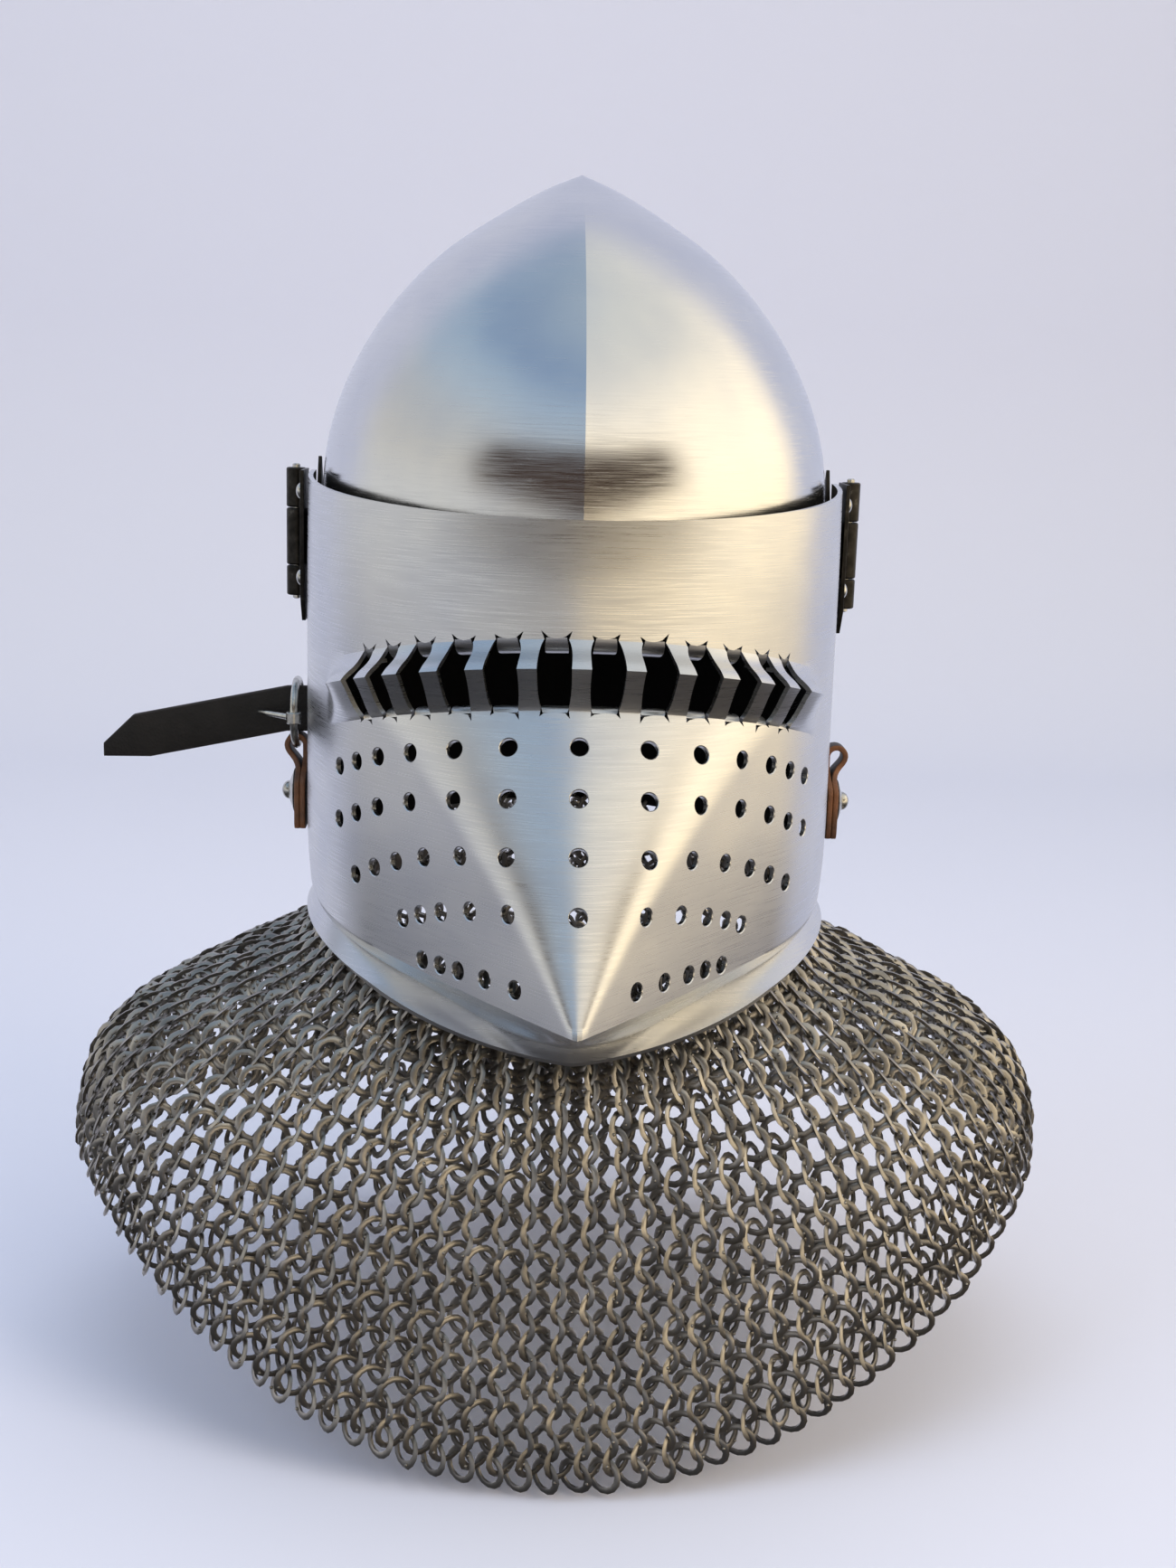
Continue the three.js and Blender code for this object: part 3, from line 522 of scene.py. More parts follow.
def lathe(rows, sides):
    """Points and faces of a turned solid on the Z axis from rows of (radius, height), capped at both
    ends. Rows that rise on the outside give outward normals."""
    turn = np.linspace(0, 2 * math.pi, sides, endpoint=False)
    rows = np.asarray(rows, float)
    x = rows[:, :1] * np.cos(turn)
    y = rows[:, :1] * np.sin(turn)
    z = np.repeat(rows[:, 1:], sides, axis=1)
    faces = grid_faces(len(rows), sides, wrap=True)[:, ::-1].tolist()
    last = (len(rows) - 1) * sides
    caps = [list(range(sides))[::-1], list(range(last, last + sides))]
    return np.stack([x, y, z], -1).reshape(-1, 3), faces + caps


def place_many(points, faces, frames, origins):
    """Copies of a shape: one 3 by 3 frame, with its axes as rows, and one origin for each copy."""
    frames, origins = np.asarray(frames), np.asarray(origins)
    count, size = len(origins), len(points)
    placed = np.einsum("pk,nkj->npj", points, frames) + origins[:, None]
    copies = [[i + n * size for i in face] for n in range(count) for face in faces]
    return placed.reshape(-1, 3), copies


def join_shapes(shapes):
    """One set of points and faces from several."""
    points, faces, start = [], [], 0
    for shape_points, shape_faces in shapes:
        points.append(np.asarray(shape_points).reshape(-1, 3))
        faces += [[i + start for i in face] for face in shape_faces]
        start += len(points[-1])
    return np.concatenate(points), faces


def slot_outline(width, up, down, rng):
    """A slot bellied at the fold and drawn in towards both ends, where saw cuts run past the corners.
    Each point is how far across and up it lies from the slot's middle at the fold."""
    t = np.linspace(-0.9, 0.9, 17)
    shape = 1 - np.where(t > 0, SLOT_TOP_DRAW, SLOT_FOOT_DRAW) * np.abs(t) ** 3
    z = np.where(t > 0, t * up, t * down)
    half = width / 2
    right_edge = np.stack([half * shape, z], -1)
    top, foot = (half * share for _, _, _, share in FLAPS)
    jag = rng.uniform(*SAW_OVERRUN, 4)
    head = [[top + 0.8 + jag[0] / 2, up + jag[0]], [top - 0.9, up - 0.2], [0, up - 0.7],
            [0.9 - top, up], [-top - 0.6 - jag[1] / 2, up + jag[1]]]
    base = [[-foot - 0.5 - jag[2] / 3, -down - jag[2]], [0.8 - foot, -down + 0.2], [0, -down + 0.5],
            [foot - 0.8, -down], [foot + 0.4 + jag[3] / 3, -down - jag[3]]]
    left_edge = right_edge[::-1] * [-1, 1]
    return np.concatenate([base, right_edge, head, left_edge])


def slot_cutters():
    """One prism for each eye slot, square to the fold in plan."""
    rng = np.random.default_rng(5)
    shapes = []
    for turn, width in zip(SLOT_TURNS, SLOT_WIDTHS):
        for side in (-1, 1):
            angle = np.array(side * math.radians(turn))
            top, peak, foot = visor_surface(angle, np.array([SLOT_TOP, EYE_RIDGE, SLOT_FOOT], float))
            outward = unit(peak * [1, 1, 0])
            across = np.cross(outward, [0, 0, 1])
            outline = slot_outline(width, top[2] - peak[2] + SLOT_OVER, peak[2] - foot[2] + SLOT_OVER, rng)
            shape = extrude(outline, SLOT_REACH, -SLOT_REACH)
            shapes.append(place_many(*shape, [[across, outward, [0, 0, 1]]], [peak]))
    return shapes


def surface_frames(surface, angle, v):
    """Points on a surface, with the directions across, down the slope and outwards at each."""
    h = 1e-3
    across = unit(surface(angle + h, v) - surface(angle - h, v))
    down = surface(angle, v + h) - surface(angle, v - h)
    outwards = unit(np.cross(down, across))
    return surface(angle, v), across, unit(np.cross(across, outwards)), outwards


def hole_cutters():
    """A countersunk drill for each breath hole, square to the sheet, at its distance from the middle
    plane: the angle is found by halving, and at each angle the level that has the row's height."""
    aside, z = [], []
    for rise, droop, beside in HOLE_ROWS:
        both = np.array([side * x for x in beside for side in ((-1, 1) if x else (1,))], float)
        aside.append(both)
        z.append(RIM + rise - droop * (1 - np.sqrt(1 - (both / HALF_WIDTH) ** 2)))
    aside, z = np.concatenate(aside), np.concatenate(z)
    low, high = np.zeros_like(aside), np.full_like(aside, math.pi / 2)
    for _ in range(24):
        middle = (low + high) / 2
        v = level_at_height(visor_surface, middle, z, SLOT_FOOT, VISOR_LAST)
        inside = visor_surface(middle, v)[:, 0] < np.abs(aside)
        low, high = np.where(inside, middle, low), np.where(inside, high, middle)
    angle = low * np.sign(aside)
    v = level_at_height(visor_surface, angle, z, SLOT_FOOT, VISOR_LAST)
    at, across, down, outwards = surface_frames(visor_surface, angle, v)
    drill = lathe([(HOLE_RADIUS, -DRILL_DEPTH), (HOLE_RADIUS, -COUNTERSINK), (HOLE_RADIUS + COUNTERSINK, 0),
                   (HOLE_RADIUS + DRILL_OVER, DRILL_OVER - COUNTERSINK)], 28)
    return place_many(*drill, np.stack([across, -down, outwards], 1), at)


def sheet_faces(rows, columns):
    """Quads of a sheet: its outer grid, its inner grid, then the walls round their four edges."""
    start = rows * columns
    grid = grid_faces(rows, columns)
    top = np.arange(columns - 1)
    foot = top + (rows - 1) * columns
    first = np.arange(rows - 1) * columns
    last = first + columns - 1
    return np.concatenate([
        grid,
        grid[:, ::-1] + start,
        np.stack([top, top + 1, top + 1 + start, top + start], -1),
        np.stack([foot, foot + start, foot + 1 + start, foot + 1], -1),
        np.stack([first, first + start, first + columns + start, first + columns], -1),
        np.stack([last, last + columns, last + columns + start, last + start], -1),
    ])


def flap_shapes():
    """The tongues left at both ends of each slot, bent inwards out of the sheet: each is a strip
    along an arc of a given length, with its share of the slot's width, as a closed thin wall."""
    shapes = []
    along_arc, sideways = np.meshgrid(np.linspace(0, 1, FLAP_ROWS), [-1, 1], indexing="ij")
    bend = along_arc * FLAP_BEND
    faces = sheet_faces(FLAP_ROWS, 2)
    for turn, width in zip(SLOT_TURNS, SLOT_WIDTHS):
        for side in (-1, 1):
            for level, way, length, share in FLAPS:
                angle = np.array(side * math.radians(turn))
                v = np.array(level - way * FLAP_ROOT)
                at, across, down, outwards = surface_frames(visor_surface, angle, v)
                run = length * np.sin(bend) / FLAP_BEND
                sink = FLAP_SINK + length * (1 - np.cos(bend)) / FLAP_BEND
                half = width / 2 * share * (1 + FLAP_BELLY * np.sin(along_arc * math.pi)) - FLAP_SAW
                onwards = way * down
                face = at + (sideways * half)[..., None] * across + run[..., None] * onwards
                face = face - sink[..., None] * outwards
                through = np.cos(bend)[..., None] * outwards + np.sin(bend)[..., None] * onwards
                inner = face - FLAP_THICK * through
                points = np.concatenate([face.reshape(-1, 3), inner.reshape(-1, 3)])
                shapes.append((points, faces.tolist() if way < 0 else faces[:, ::-1].tolist()))
    return shapes


def visor_piece():
    """Outer and inner grids of the sheet, closed round its four edges, less the slots and holes."""
    columns, rows = 249, 133
    angle, v = np.meshgrid(np.linspace(-VISOR_END, VISOR_END, columns), np.linspace(0, VISOR_LAST, rows))
    outer, inner = wall_points(visor_surface, angle, v, VISOR_LAST)
    points = np.concatenate([outer.reshape(-1, 3), inner.reshape(-1, 3)])
    faces = sheet_faces(rows, columns)
    quads = (rows - 1) * (columns - 1)
    # The inner grid carries painted shade: matt black
    inside = slice(quads, 2 * quads)
    piece = mesh_object("visor_sheet", points * MM, faces, visor_steel, None, inside_shade, inside)
    cutter_points, cutter_faces = join_shapes(slot_cutters() + [hole_cutters()])
    cut_away(piece, [mesh_object("visor_cutter", cutter_points * MM, cutter_faces)])
    keep_crisp(piece, 22)
    return piece


def finish_piece(name, shapes, material, node, body, angle=35, bevel=0):
    """Joins shapes in millimetres into one piece that stands for a node."""
    points, faces = join_shapes(shapes)
    piece = mesh_object(name, points * MM, faces, material, angle)
    if bevel:
        edge = piece.modifiers.new("broken_edges", "BEVEL")
        edge.width = bevel * MM
        edge.segments = 2
        edge.limit_method = "ANGLE"
        edge.angle_limit = math.radians(40)
    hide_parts(node)
    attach(piece, body)
    return piece


# Sanded sheet: a blurred mirror drawn out across the level sanding lines
visor_steel = steel_material("sanded_steel", STEEL_COLOUR, 0.3, (50, 50, 2600))
visor = visor_piece()
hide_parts("visor")
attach(visor, "visor")
finish_piece("slot_tongues", flap_shapes(), visor_steel, "visor", "visor", 40)


# Aventail: flattened wire rings of 15 mm, each riveted shut through two above and two below.
# Neighbouring rows lean opposite ways. The mail hangs from under the visor over the shoulders,
# and the table's levels are its fall.
MAIL_ROWS = {
    "half_width": [102, 103, 118, 155, 190, 207, 212],
    "front": [96, 114, 126, 134, 139, 142, 144],
    "back": [120, 125, 134, 145, 150, 151, 149],
    "rise_front": [-178, -201, -218, -248, -288, -330, -371],
    "rise_side": [-155.5, -178, -194, -210, -228, -249, -275],
    "rise_back": [-155.5, -170, -190, -217, -252, -290, -325],
}
RING_RADIUS = 6.2
RING_LEAN = math.radians(38)
RING_PITCH = 11
RING_ROWS = 32
TOP_RING = 0.3
LAST_RING = 5.9
WIRE_WIDE = 1.4
WIRE_FLAT = 0.85
WIRE_SEGMENTS = 14
WIRE_SIDES = 5
LAP_WIDER = 0.4
LAP_REACH = 0.35
RING_RIVET = [(0.75, 0.5), (0.75, 1.05), (0.35, 1.4)]
MAIL_PIECES = 4
MAIL_HALF_THICK = 2.5
ROWS_TOGETHER = 4
LEAN_SPREAD = 0.06
NOD_SPREAD = 0.05
PLACE_SPREAD = 0.25


def mail_surface(angle, v):
    """Middle of the mail: half ellipses front and back, taken in by half its thickness. Its height
    falls from the side to either end with the square of the cosine."""
    level = {name: along(column, v) for name, column in MAIL_ROWS.items()}
    cos = np.cos(angle)
    reach = np.where(cos > 0, level["front"], level["back"])
    end = np.where(cos > 0, level["rise_front"], level["rise_back"])
    z = RIM + level["rise_side"] + (end - level["rise_side"]) * cos**2
    x = (level["half_width"] - MAIL_HALF_THICK) * np.sin(angle)
    return np.stack([x, -(reach - MAIL_HALF_THICK) * cos, z], axis=-1)


def loop_faces(segments, sides):
    """Quads round a ring of wire, whose last section meets the first."""
    j, i = np.meshgrid(np.arange(segments), np.arange(sides), indexing="ij")
    near, far = j * sides, (j + 1) % segments * sides
    k = (i + 1) % sides
    return np.stack([near + i, far + i, far + k, near + k], -1).reshape(-1, 4).tolist()


def ring_shape():
    """A ring in its own plane: flat oval wire, wider at the lap where a small rivet stands out."""
    turn = np.linspace(0, 2 * math.pi, WIRE_SEGMENTS, endpoint=False)[:, None]
    around = np.linspace(0, 2 * math.pi, WIRE_SIDES, endpoint=False)[None]
    lap = 1 + LAP_WIDER * np.exp(-(np.minimum(turn, 2 * math.pi - turn) / LAP_REACH) ** 2)
    radius = RING_RADIUS + WIRE_WIDE * lap * np.cos(around)
    lift = WIRE_FLAT * np.sin(around) * np.ones_like(turn)
    wire = np.stack([radius * np.cos(turn), radius * np.sin(turn), lift], -1)
    rivet, faces = lathe(RING_RIVET, WIRE_SIDES)
    return join_shapes([(wire, loop_faces(WIRE_SEGMENTS, WIRE_SIDES)), (rivet + [RING_RADIUS, 0, 0], faces)])


def mail_frames():
    """Centre and axes of every ring: even steps along each row, odd rows half a step on. A few rows
    together have one count of rings, so that they hang in columns."""
    rng = np.random.default_rng(11)
    fine = np.linspace(0, 2 * math.pi, 1441)
    centres, frames = [], []
    for row in range(RING_ROWS):
        v = TOP_RING + (LAST_RING - TOP_RING) * row / (RING_ROWS - 1)
        path = mail_surface(fine, np.full_like(fine, v))
        length = np.concatenate([[0], np.cumsum(np.linalg.norm(np.diff(path, axis=0), axis=1))])
        band_v = TOP_RING + (LAST_RING - TOP_RING) * (row // ROWS_TOGETHER * ROWS_TOGETHER + 1.5) / RING_ROWS
        band = mail_surface(fine, np.full_like(fine, band_v))
        count = round(np.linalg.norm(np.diff(band, axis=0), axis=1).sum() / RING_PITCH)
        steps = (np.arange(count) + 0.5 * (row % 2)) / count
        angle = np.interp(steps * length[-1], length, fine)
        at, across, down, outwards = surface_frames(mail_surface, angle, np.full_like(angle, v))
        lean = ((1 if row % 2 else -1) * RING_LEAN + rng.normal(0, LEAN_SPREAD, count))[:, None]
        flat = across * np.cos(lean) + outwards * np.sin(lean)
        facing = outwards * np.cos(lean) - across * np.sin(lean)
        twist = rng.uniform(0, 2 * math.pi, count)[:, None]
        first = flat * np.cos(twist) + down * np.sin(twist)
        nod = rng.normal(0, NOD_SPREAD, count)[:, None]
        facing = unit(facing + nod * down)
        first = unit(first - (first * facing).sum(-1, keepdims=True) * facing)
        frames.append(np.stack([first, np.cross(facing, first), facing], axis=1))
        centres.append(at + rng.normal(0, PLACE_SPREAD, (count, 3)))
    return np.concatenate(frames), np.concatenate(centres)


def mail_material():
    """Oiled mild steel wire: grey, in random patches that run from dull and darker to glossy and brighter."""
    material, tree, shader = new_material("oiled_mail_steel")
    place = add_node(tree, "ShaderNodeTexCoord", {}).outputs["Object"]
    patches = add_node(tree, "ShaderNodeTexNoise", {"Vector": place, "Scale": 60, "Detail": 2}).outputs["Fac"]
    tint = add_node(tree, "ShaderNodeValToRGB", {"Fac": patches}, [(0.3, "8D8A86"), (0.7, "BDB8B0")])
    rough = add_node(tree, "ShaderNodeMapRange", {"Value": patches, "To Min": 0.5, "To Max": 0.28})
    fill(tree, shader, {"Base Color": tint.outputs["Color"], "Roughness": rough.outputs["Result"],
                        "Metallic": 1})
    return material


mail_steel = mail_material()
ring_points, ring_faces = ring_shape()
ring_frames, ring_centres = mail_frames()
for number in range(MAIL_PIECES):
    share = slice(number * len(ring_centres) // MAIL_PIECES, (number + 1) * len(ring_centres) // MAIL_PIECES)
    rings = place_many(ring_points, ring_faces, ring_frames[share], ring_centres[share])
    finish_piece(f"mail_{number}", [rings], mail_steel, "aventail", "skull", 60)


# Hinges, pins and temple pivots: plates of blackened steel, the leaf riveted to the visor, the arm
# turning on a rivet through the skull, their knuckles rolled round a drawn pin. Outlines are (y, z),
# and rows of turned parts (radius, height).
HINGE_Z = -77
HINGE_X = 118.2
HINGE_Y = 9.5
PLATE = 1.6
SEAT = 0.4
CURVE_GAP = 0.35
KNUCKLE_RADIUS = 4.2
LEAF_WEB = 5.6
LEAF_KNUCKLES = [(10.4, 27), (-27, -14.4)]
LEAF_OUTLINE = [(-13, -26), (-7, -36), (3.4, -36), (6.4, -26), (6.4, 27), (-13, 27)]
ARM_X = 107.5
ARM_WEB = 7
ARM_KNUCKLE = (-14, 10)
ARM_OUTLINE = [(4, -15), (38, -15), (46, 0), (38, 15), (20, 15), (11, 32), (4, 15)]
PIVOT_Y = 28
PIVOT_SHANK = [(4.5, -8.4), (4.5, -6.9), (3, -6.9), (3, 0.2), (6.7, 0.4)]
PIN_ROWS = [(1.2, -28.6), (1.7, -28.2), (1.7, 28.2), (1.2, 28.6)]
LEAF_RIVET_SHANK = [(3.4, -0.2)]
LEAF_RIVET_Y = -4
LEAF_RIVET_OFFSETS = {"upper": 18, "lower": -18}


def visor_side(z):
    """How far the visor stands out beside the ear at a height."""
    ear = np.array(math.pi / 2)
    return float(visor_surface(ear, level_at_height(visor_surface, ear, z, 0, VISOR_LAST))[0])


def closed(points, faces):
    """The same solid with its faces turned outwards, whichever way its frame was handed: the sum of
    the tetrahedra from the origin to each face is its volume, and has to be positive."""
    points = np.asarray(points, float)
    volume = 0
    for face in faces:
        corners = points[list(face)]
        volume += np.cross(corners[1:-1], corners[2:]).sum(0) @ corners[0]
    return points, [list(face)[::-1] for face in faces] if volume < 0 else faces


def towards(side):
    """Frame whose third axis points out of the helmet's side."""
    return [[0, 1, 0], [0, 0, 1], [side, 0, 0]]


def side_plate(outline, side, x, thickness):
    """Flat plate beside the ear, from its outline in (y, z)."""
    points, faces = extrude(outline, 0, thickness)
    return closed(points @ np.array([[0, 1, 0], [side, 0, 0], [0, 0, 1]]) + [side * x, 0, 0], faces)


def dome(radius, height, base=0.0):
    """Lathe rows of a domed head."""
    lift = np.linspace(0, 0.47 * math.pi, 7)
    return [(radius * math.cos(t), base + height * math.sin(t)) for t in lift]


def knuckle(side, foot, top, web_x, web_y):
    """A rolled barrel round the pin, and the web that runs to its plate."""
    r, edge = KNUCKLE_RADIUS, 0.5
    rows = [(r - edge, foot), (r, foot + edge), (r, top - edge), (r - edge, top)]
    barrel, faces = lathe(rows, 28)
    web = [(web_y, foot), (web_y + PLATE, foot), (web_y + PLATE, top), (web_y, top)]
    return [closed(barrel + [side * HINGE_X, HINGE_Y, HINGE_Z], faces),
            side_plate([(y, z + HINGE_Z) for y, z in web], side, web_x, HINGE_X - web_x)]


def stud(rows, sides, side, place):
    """A turned solid that points out of the helmet's side."""
    return closed(*place_many(*lathe(rows, sides), [towards(side)], [place]))


def black_steel_material():
    """Steel blackened in hot oil: nearly black, half dull, rubbed to bare grey in places."""
    material, tree, shader = new_material("oil_blackened_steel")
    place = add_node(tree, "ShaderNodeTexCoord", {}).outputs["Object"]
    wear = add_node(tree, "ShaderNodeTexNoise", {"Vector": place, "Scale": 260, "Detail": 5}).outputs["Fac"]
    stops = [(0.35, "262421"), (0.62, "3A3733"), (0.8, "6B6862")]
    tint = add_node(tree, "ShaderNodeValToRGB", {"Fac": wear}, stops).outputs["Color"]
    skin = add_node(tree, "ShaderNodeBump", {"Strength": 0.3, "Distance": 0.0002, "Height": wear})
    fill(tree, shader, {"Base Color": tint, "Roughness": 0.42, "Metallic": 0.85,
                        "Normal": skin.outputs["Normal"]})
    return material


def bright_steel_material():
    """Bright drawn steel of rivets, pins and buckle, lightly scratched."""
    material, tree, shader = new_material("bright_rivet_steel")
    place = add_node(tree, "ShaderNodeTexCoord", {}).outputs["Object"]
    wear = add_node(tree, "ShaderNodeTexNoise", {"Vector": place, "Scale": 400, "Detail": 3}).outputs["Fac"]
    tint = add_node(tree, "ShaderNodeValToRGB", {"Fac": wear}, [(0.3, "A9A8A4"), (0.7, "D9D8D2")])
    fill(tree, shader, {"Base Color": tint.outputs["Color"], "Roughness": 0.27, "Metallic": 1})
    return material


black_steel = black_steel_material()
bright_steel = bright_steel_material()
leaf_x = visor_side(HINGE_Z) + SEAT + CURVE_GAP
for side, name in ((-1, "right"), (1, "left")):
    outline = [(y, z + HINGE_Z) for y, z in LEAF_OUTLINE]
    leaf = [side_plate(outline, side, leaf_x, PLATE)]
    for foot, top in LEAF_KNUCKLES:
        leaf += knuckle(side, foot, top, leaf_x, LEAF_WEB)
    finish_piece(f"leaf_{name}", leaf, black_steel, f"hinge_leaf_{name}", "visor", bevel=0.25)
    outline = [(y, z + HINGE_Z) for y, z in ARM_OUTLINE]
    arm = [side_plate(outline, side, ARM_X, PLATE)] + knuckle(side, *ARM_KNUCKLE, ARM_X, ARM_WEB)
    finish_piece(f"arm_{name}", arm, black_steel, f"hinge_arm_{name}", "visor", bevel=0.25)
    pin, faces = lathe(PIN_ROWS, 16)
    finish_piece(f"pin_{name}", [(pin + [side * HINGE_X, HINGE_Y, HINGE_Z], faces)], bright_steel,
                 f"hinge_pin_{name}", "visor")
    for end, offset in LEAF_RIVET_OFFSETS.items():
        head = stud(LEAF_RIVET_SHANK + dome(3.6, 2.4, 0.2), 24, side,
                    [side * (leaf_x + PLATE), LEAF_RIVET_Y, HINGE_Z + offset])
        finish_piece(f"rivet_{end}_{name}", [head], bright_steel,
                     f"leaf_rivet_{end}_{name}", "visor")
    head = stud(PIVOT_SHANK + dome(7, 3.2, 0.6), 32, side, [side * (ARM_X + PLATE), PIVOT_Y, HINGE_Z])
    finish_piece(f"pivot_{name}", [head], bright_steel, f"pivot_rivet_{name}", "skull")


# Leather: tabs folded over the ring and riveted to the visor's cheeks, and the black strap that
# runs out through the ring on the wearer's right. Cut edges stay brown where the dye has not taken.
# A taper is how far from the strap's tip it starts, and how much it takes off there.
TAB_FOOT = -203
TAB_Y = 1
TAB_RIVET_Z = -188
TAB_HALF = 11
LOOP_HALF = 4.5
LAYER = 2.4
CUT_SHARE = 0.6
TAB_SHOULDER = 14
TAB_EASE = 10
TAB_ROUND = 1.5
TAB_ROUND_OVER = 3
LOOP_AIR = 1.1
RING_WIRE = 1.7
RING_TORUS = 14
RING_Y = 8
RING_Z = -155
STRAP_Z = -153.7
STRAP_THICK = 3
STRAP_HALF = 10
STRAP_SIDE = 107.9
STRAP_BEND = 5.5
STRAP_REAR = 39
STRAP_FRONT = 10.5
STRAP_SAG_FROM = 122
STRAP_SAG = 17
STRAP_TIP = 202
STRAP_POINT = 22
TOP_TAPER = (13, 10)
FOOT_TAPER = (20, 4)
WASHER_ROWS = [(9.3, 0), (9.5, 0.4), (4.3, 2.4), (4, 2.7)]
SLEEVE_ROWS = [(2.9, -2.5), (3.3, -2.1), (3.3, 2.1), (2.9, 2.5)]
PRONG_ROOT = (-2.6, 1.5)
PRONG_END = (-135, 7.3)


def band(path, thickness_way, across, low, high, thick):
    """A strip along a path: its section is a rounded rectangle between two edges along the across
    direction. Also gives how near each point is to a cut edge."""
    path, thickness_way = np.asarray(path, float), np.asarray(thickness_way, float)
    round_off = 0.3 * thick
    turn = (np.linspace(0, math.pi / 2, 4) + np.arange(4)[:, None] * math.pi / 2).reshape(-1)
    edge_way = np.repeat([1, -1, -1, 1], 4)
    face_way = np.repeat([1, 1, -1, -1], 4)
    inset = round_off * (np.cos(turn) - edge_way)
    along_face = face_way * (thick / 2 - round_off) + round_off * np.sin(turn)
    edge = np.where(edge_way > 0, np.asarray(high)[:, None], np.asarray(low)[:, None]) + inset
    points = path[:, None] + edge[..., None] * np.asarray(across, float)
    points = points + along_face[None, :, None] * thickness_way[:, None]
    rows, columns = edge.shape
    faces = grid_faces(rows, columns, wrap=True).tolist()
    faces += [list(range(columns))[::-1], list(range((rows - 1) * columns, rows * columns))]
    cut = np.broadcast_to(np.abs(inset) < round_off * CUT_SHARE, edge.shape).astype(np.float32).copy()
    cut[[0, -1]] = 1
    points, faces = closed(points.reshape(-1, 3), faces)
    return points, faces, cut.reshape(-1)


def leather_material(name, face, face_worn, edge, edge_worn, roughness):
    """Vegetable-tanned leather dyed on its faces: a grain of about 1 mm, which is coarse enough to
    show, a soft waxed sheen, and brown cut edges."""
    material, tree, shader = new_material(name)
    place = add_node(tree, "ShaderNodeTexCoord", {}).outputs["Object"]
    grain = add_node(tree, "ShaderNodeTexVoronoi", {"Vector": place, "Scale": 900}).outputs["Distance"]
    blotch = add_node(tree, "ShaderNodeTexNoise", {"Vector": place, "Scale": 70, "Detail": 4}).outputs["Fac"]
    cut = add_node(tree, "ShaderNodeAttribute", {}, attribute_name="cut_edge").outputs["Fac"]
    dye = add_node(tree, "ShaderNodeValToRGB", {"Fac": blotch}, [(0.3, face), (0.75, face_worn)])
    bare = add_node(tree, "ShaderNodeValToRGB", {"Fac": blotch}, [(0.3, edge), (0.75, edge_worn)])
    colour = add_node(tree, "ShaderNodeMix", {
        "Factor": cut, "A": dye.outputs["Color"], "B": bare.outputs["Color"]}, data_type="RGBA")
    pores = add_node(tree, "ShaderNodeBump", {"Strength": 0.5, "Distance": 0.0003, "Height": grain})
    fill(tree, shader, {"Base Color": colour.outputs["Result"], "Roughness": roughness,
                        "Normal": pores.outputs["Normal"]})
    return material


def leather_piece(name, shape, material, node):
    """A strip of leather with its cut edges marked."""
    points, faces, cut = shape
    piece = finish_piece(name, [(points, faces)], material, node, "visor", 60)
    marks = piece.data.attributes.new("cut_edge", "FLOAT", "POINT")
    marks.data.foreach_set("value", cut)


def tab_band(side, tab_x, loop_x, loop_z):
    """Up the cheek, over the ring in a half turn, and down again outside."""
    reach = RING_WIRE + LOOP_AIR + LAYER / 2
    turn = np.linspace(math.pi, 0, 17)
    outside = tab_x + 1.5 * LAYER
    up = np.linspace(TAB_FOOT, loop_z, 24)[:-1]
    down = np.linspace(loop_z, loop_z - TAB_EASE, 8)[1:]
    ease = (1 - np.cos(np.linspace(0, math.pi, 8)[1:])) / 2
    low = np.linspace(loop_z - TAB_EASE, TAB_FOOT, 20)[1:]
    x = np.concatenate([np.full(23, loop_x - reach), loop_x + reach * np.cos(turn),
                        loop_x + reach + (outside - loop_x - reach) * ease, np.full(19, outside)])
    z = np.concatenate([up, loop_z + reach * np.sin(turn), down, low])
    path = np.stack([side * x, np.zeros_like(x), z], -1)
    way = unit(np.gradient(path, axis=0))
    facing = np.stack([way[:, 2], np.zeros_like(x), -way[:, 0]], -1)
    t = np.clip((z - (loop_z - TAB_SHOULDER)) / TAB_EASE, 0, 1)
    t = t * t * (3 - 2 * t)
    rounding = TAB_ROUND * np.clip((TAB_FOOT + TAB_ROUND_OVER - z) / TAB_ROUND_OVER, 0, 1) ** 2
    half = TAB_HALF + (LOOP_HALF - TAB_HALF) * t - rounding
    middle = TAB_Y + (RING_Y - TAB_Y) * t
    return band(path, facing, [0, 1, 0], middle - half, middle + half, LAYER)


def strap_band():
    """Forward along the skull's side, round a bend, and out sideways with a falling pointed end."""
    turn = np.linspace(0, math.pi / 2, 9)
    corner_x, corner_y = STRAP_SIDE + STRAP_BEND, STRAP_FRONT + STRAP_BEND
    point = STRAP_TIP - STRAP_POINT
    out = np.concatenate([np.linspace(corner_x, point, 30)[1:], np.linspace(point, STRAP_TIP, 24)[1:]])
    x = np.concatenate([np.full(12, STRAP_SIDE), corner_x - STRAP_BEND * np.cos(turn), out])
    y = np.concatenate([np.linspace(STRAP_REAR, corner_y, 12), corner_y - STRAP_BEND * np.sin(turn),
                        np.full(len(out), STRAP_FRONT)])
    path = np.stack([-x, y, np.full_like(x, STRAP_Z)], -1)
    way = unit(np.gradient(path, axis=0))
    facing = np.stack([-way[:, 1], way[:, 0], np.zeros_like(x)], -1)
    sag = STRAP_SAG * np.maximum(0, (x - STRAP_SAG_FROM) / (STRAP_TIP - STRAP_SAG_FROM))
    to_tip = STRAP_TIP - x
    top = STRAP_HALF - TOP_TAPER[1] * np.clip(1 - to_tip / TOP_TAPER[0], 0, 1) - sag
    foot = -STRAP_HALF + FOOT_TAPER[1] * np.clip(1 - to_tip / FOOT_TAPER[0], 0, 1) - sag
    return band(path, facing, [0, 0, 1], foot, top, STRAP_THICK)


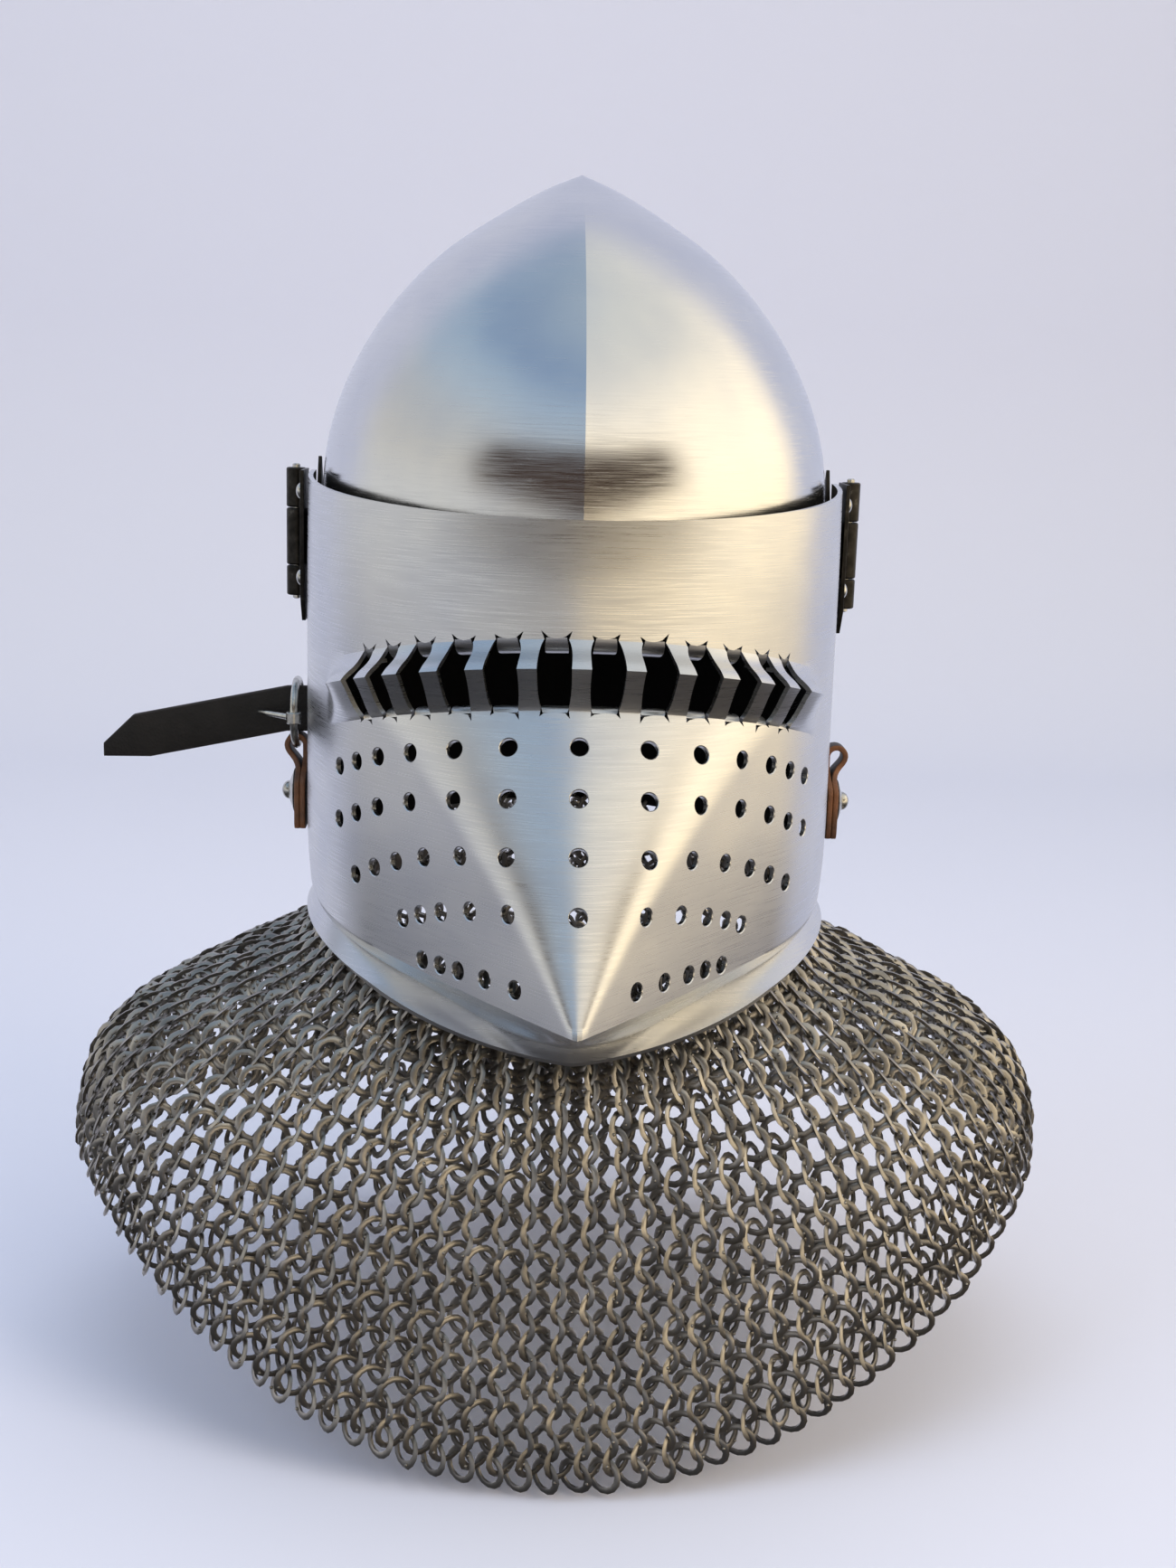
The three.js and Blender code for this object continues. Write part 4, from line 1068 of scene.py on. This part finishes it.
def torus(radius, wire, segments, sides):
    """A ring of round wire about the X axis."""
    turn, around = np.meshgrid(np.linspace(0, 2 * math.pi, segments, endpoint=False),
                               np.linspace(0, 2 * math.pi, sides, endpoint=False), indexing="ij")
    out = radius + wire * np.cos(around)
    points = np.stack([wire * np.sin(around), out * np.cos(turn), out * np.sin(turn)], -1).reshape(-1, 3)
    return closed(points, loop_faces(segments, sides))


# Black-dyed tabs with brown cut edges, and a blacker, waxed strap
brown_edged = leather_material("brown_edged_leather", "1E1714", "3A2C25", "442C1E", "85542F", 0.55)
strap_leather = leather_material("black_strap_leather", "0B0A0A", "1B1715", "161414", "2E2622", 0.6)
tab_x = visor_side(TAB_RIVET_Z) + SEAT + CURVE_GAP
loop_x = tab_x + RING_WIRE + LOOP_AIR + LAYER
loop_z = RING_Z - RING_TORUS
for side, name in ((-1, "right"), (1, "left")):
    leather_piece(f"leather_tab_{name}", tab_band(side, tab_x, loop_x, loop_z), brown_edged, f"tab_{name}")
    seat_x = side * (tab_x + 2 * LAYER + SEAT)
    head = stud(WASHER_ROWS + dome(4, 3, 2.8), 32, side, [seat_x, TAB_Y, TAB_RIVET_Z])
    finish_piece(f"washer_rivet_{name}", [head], bright_steel, f"tab_rivet_{name}", "visor")
leather_piece("leather_strap", strap_band(), strap_leather, "closure_strap")
ring, faces = torus(RING_TORUS, RING_WIRE, 56, 12)
finish_piece("wire_ring", [(ring + [-loop_x, RING_Y, RING_Z], faces)], bright_steel, "ring_buckle", "visor",
             60)
sleeve_place = np.array([-loop_x, RING_Y - RING_TORUS, RING_Z])
sleeve, faces = lathe(SLEEVE_ROWS, 24)
sleeve = closed(sleeve + sleeve_place, faces)
root = sleeve_place + [*PRONG_ROOT, 0]
tip = np.array([*PRONG_END, RING_Z])
reach = np.linalg.norm(tip - root)
ahead_way = (tip - root) / reach
sideways = unit(np.cross(ahead_way, [0, 0, 1]))
pin, faces = lathe([(1.3, 0), (1.25, reach * 0.6), (0.9, reach - 1), (0.5, reach)], 14)
pin = place_many(pin, faces, [[sideways, np.cross(ahead_way, sideways), ahead_way]], [root])
finish_piece("buckle_pin", [sleeve, closed(*pin)], bright_steel, "buckle_prong", "visor")
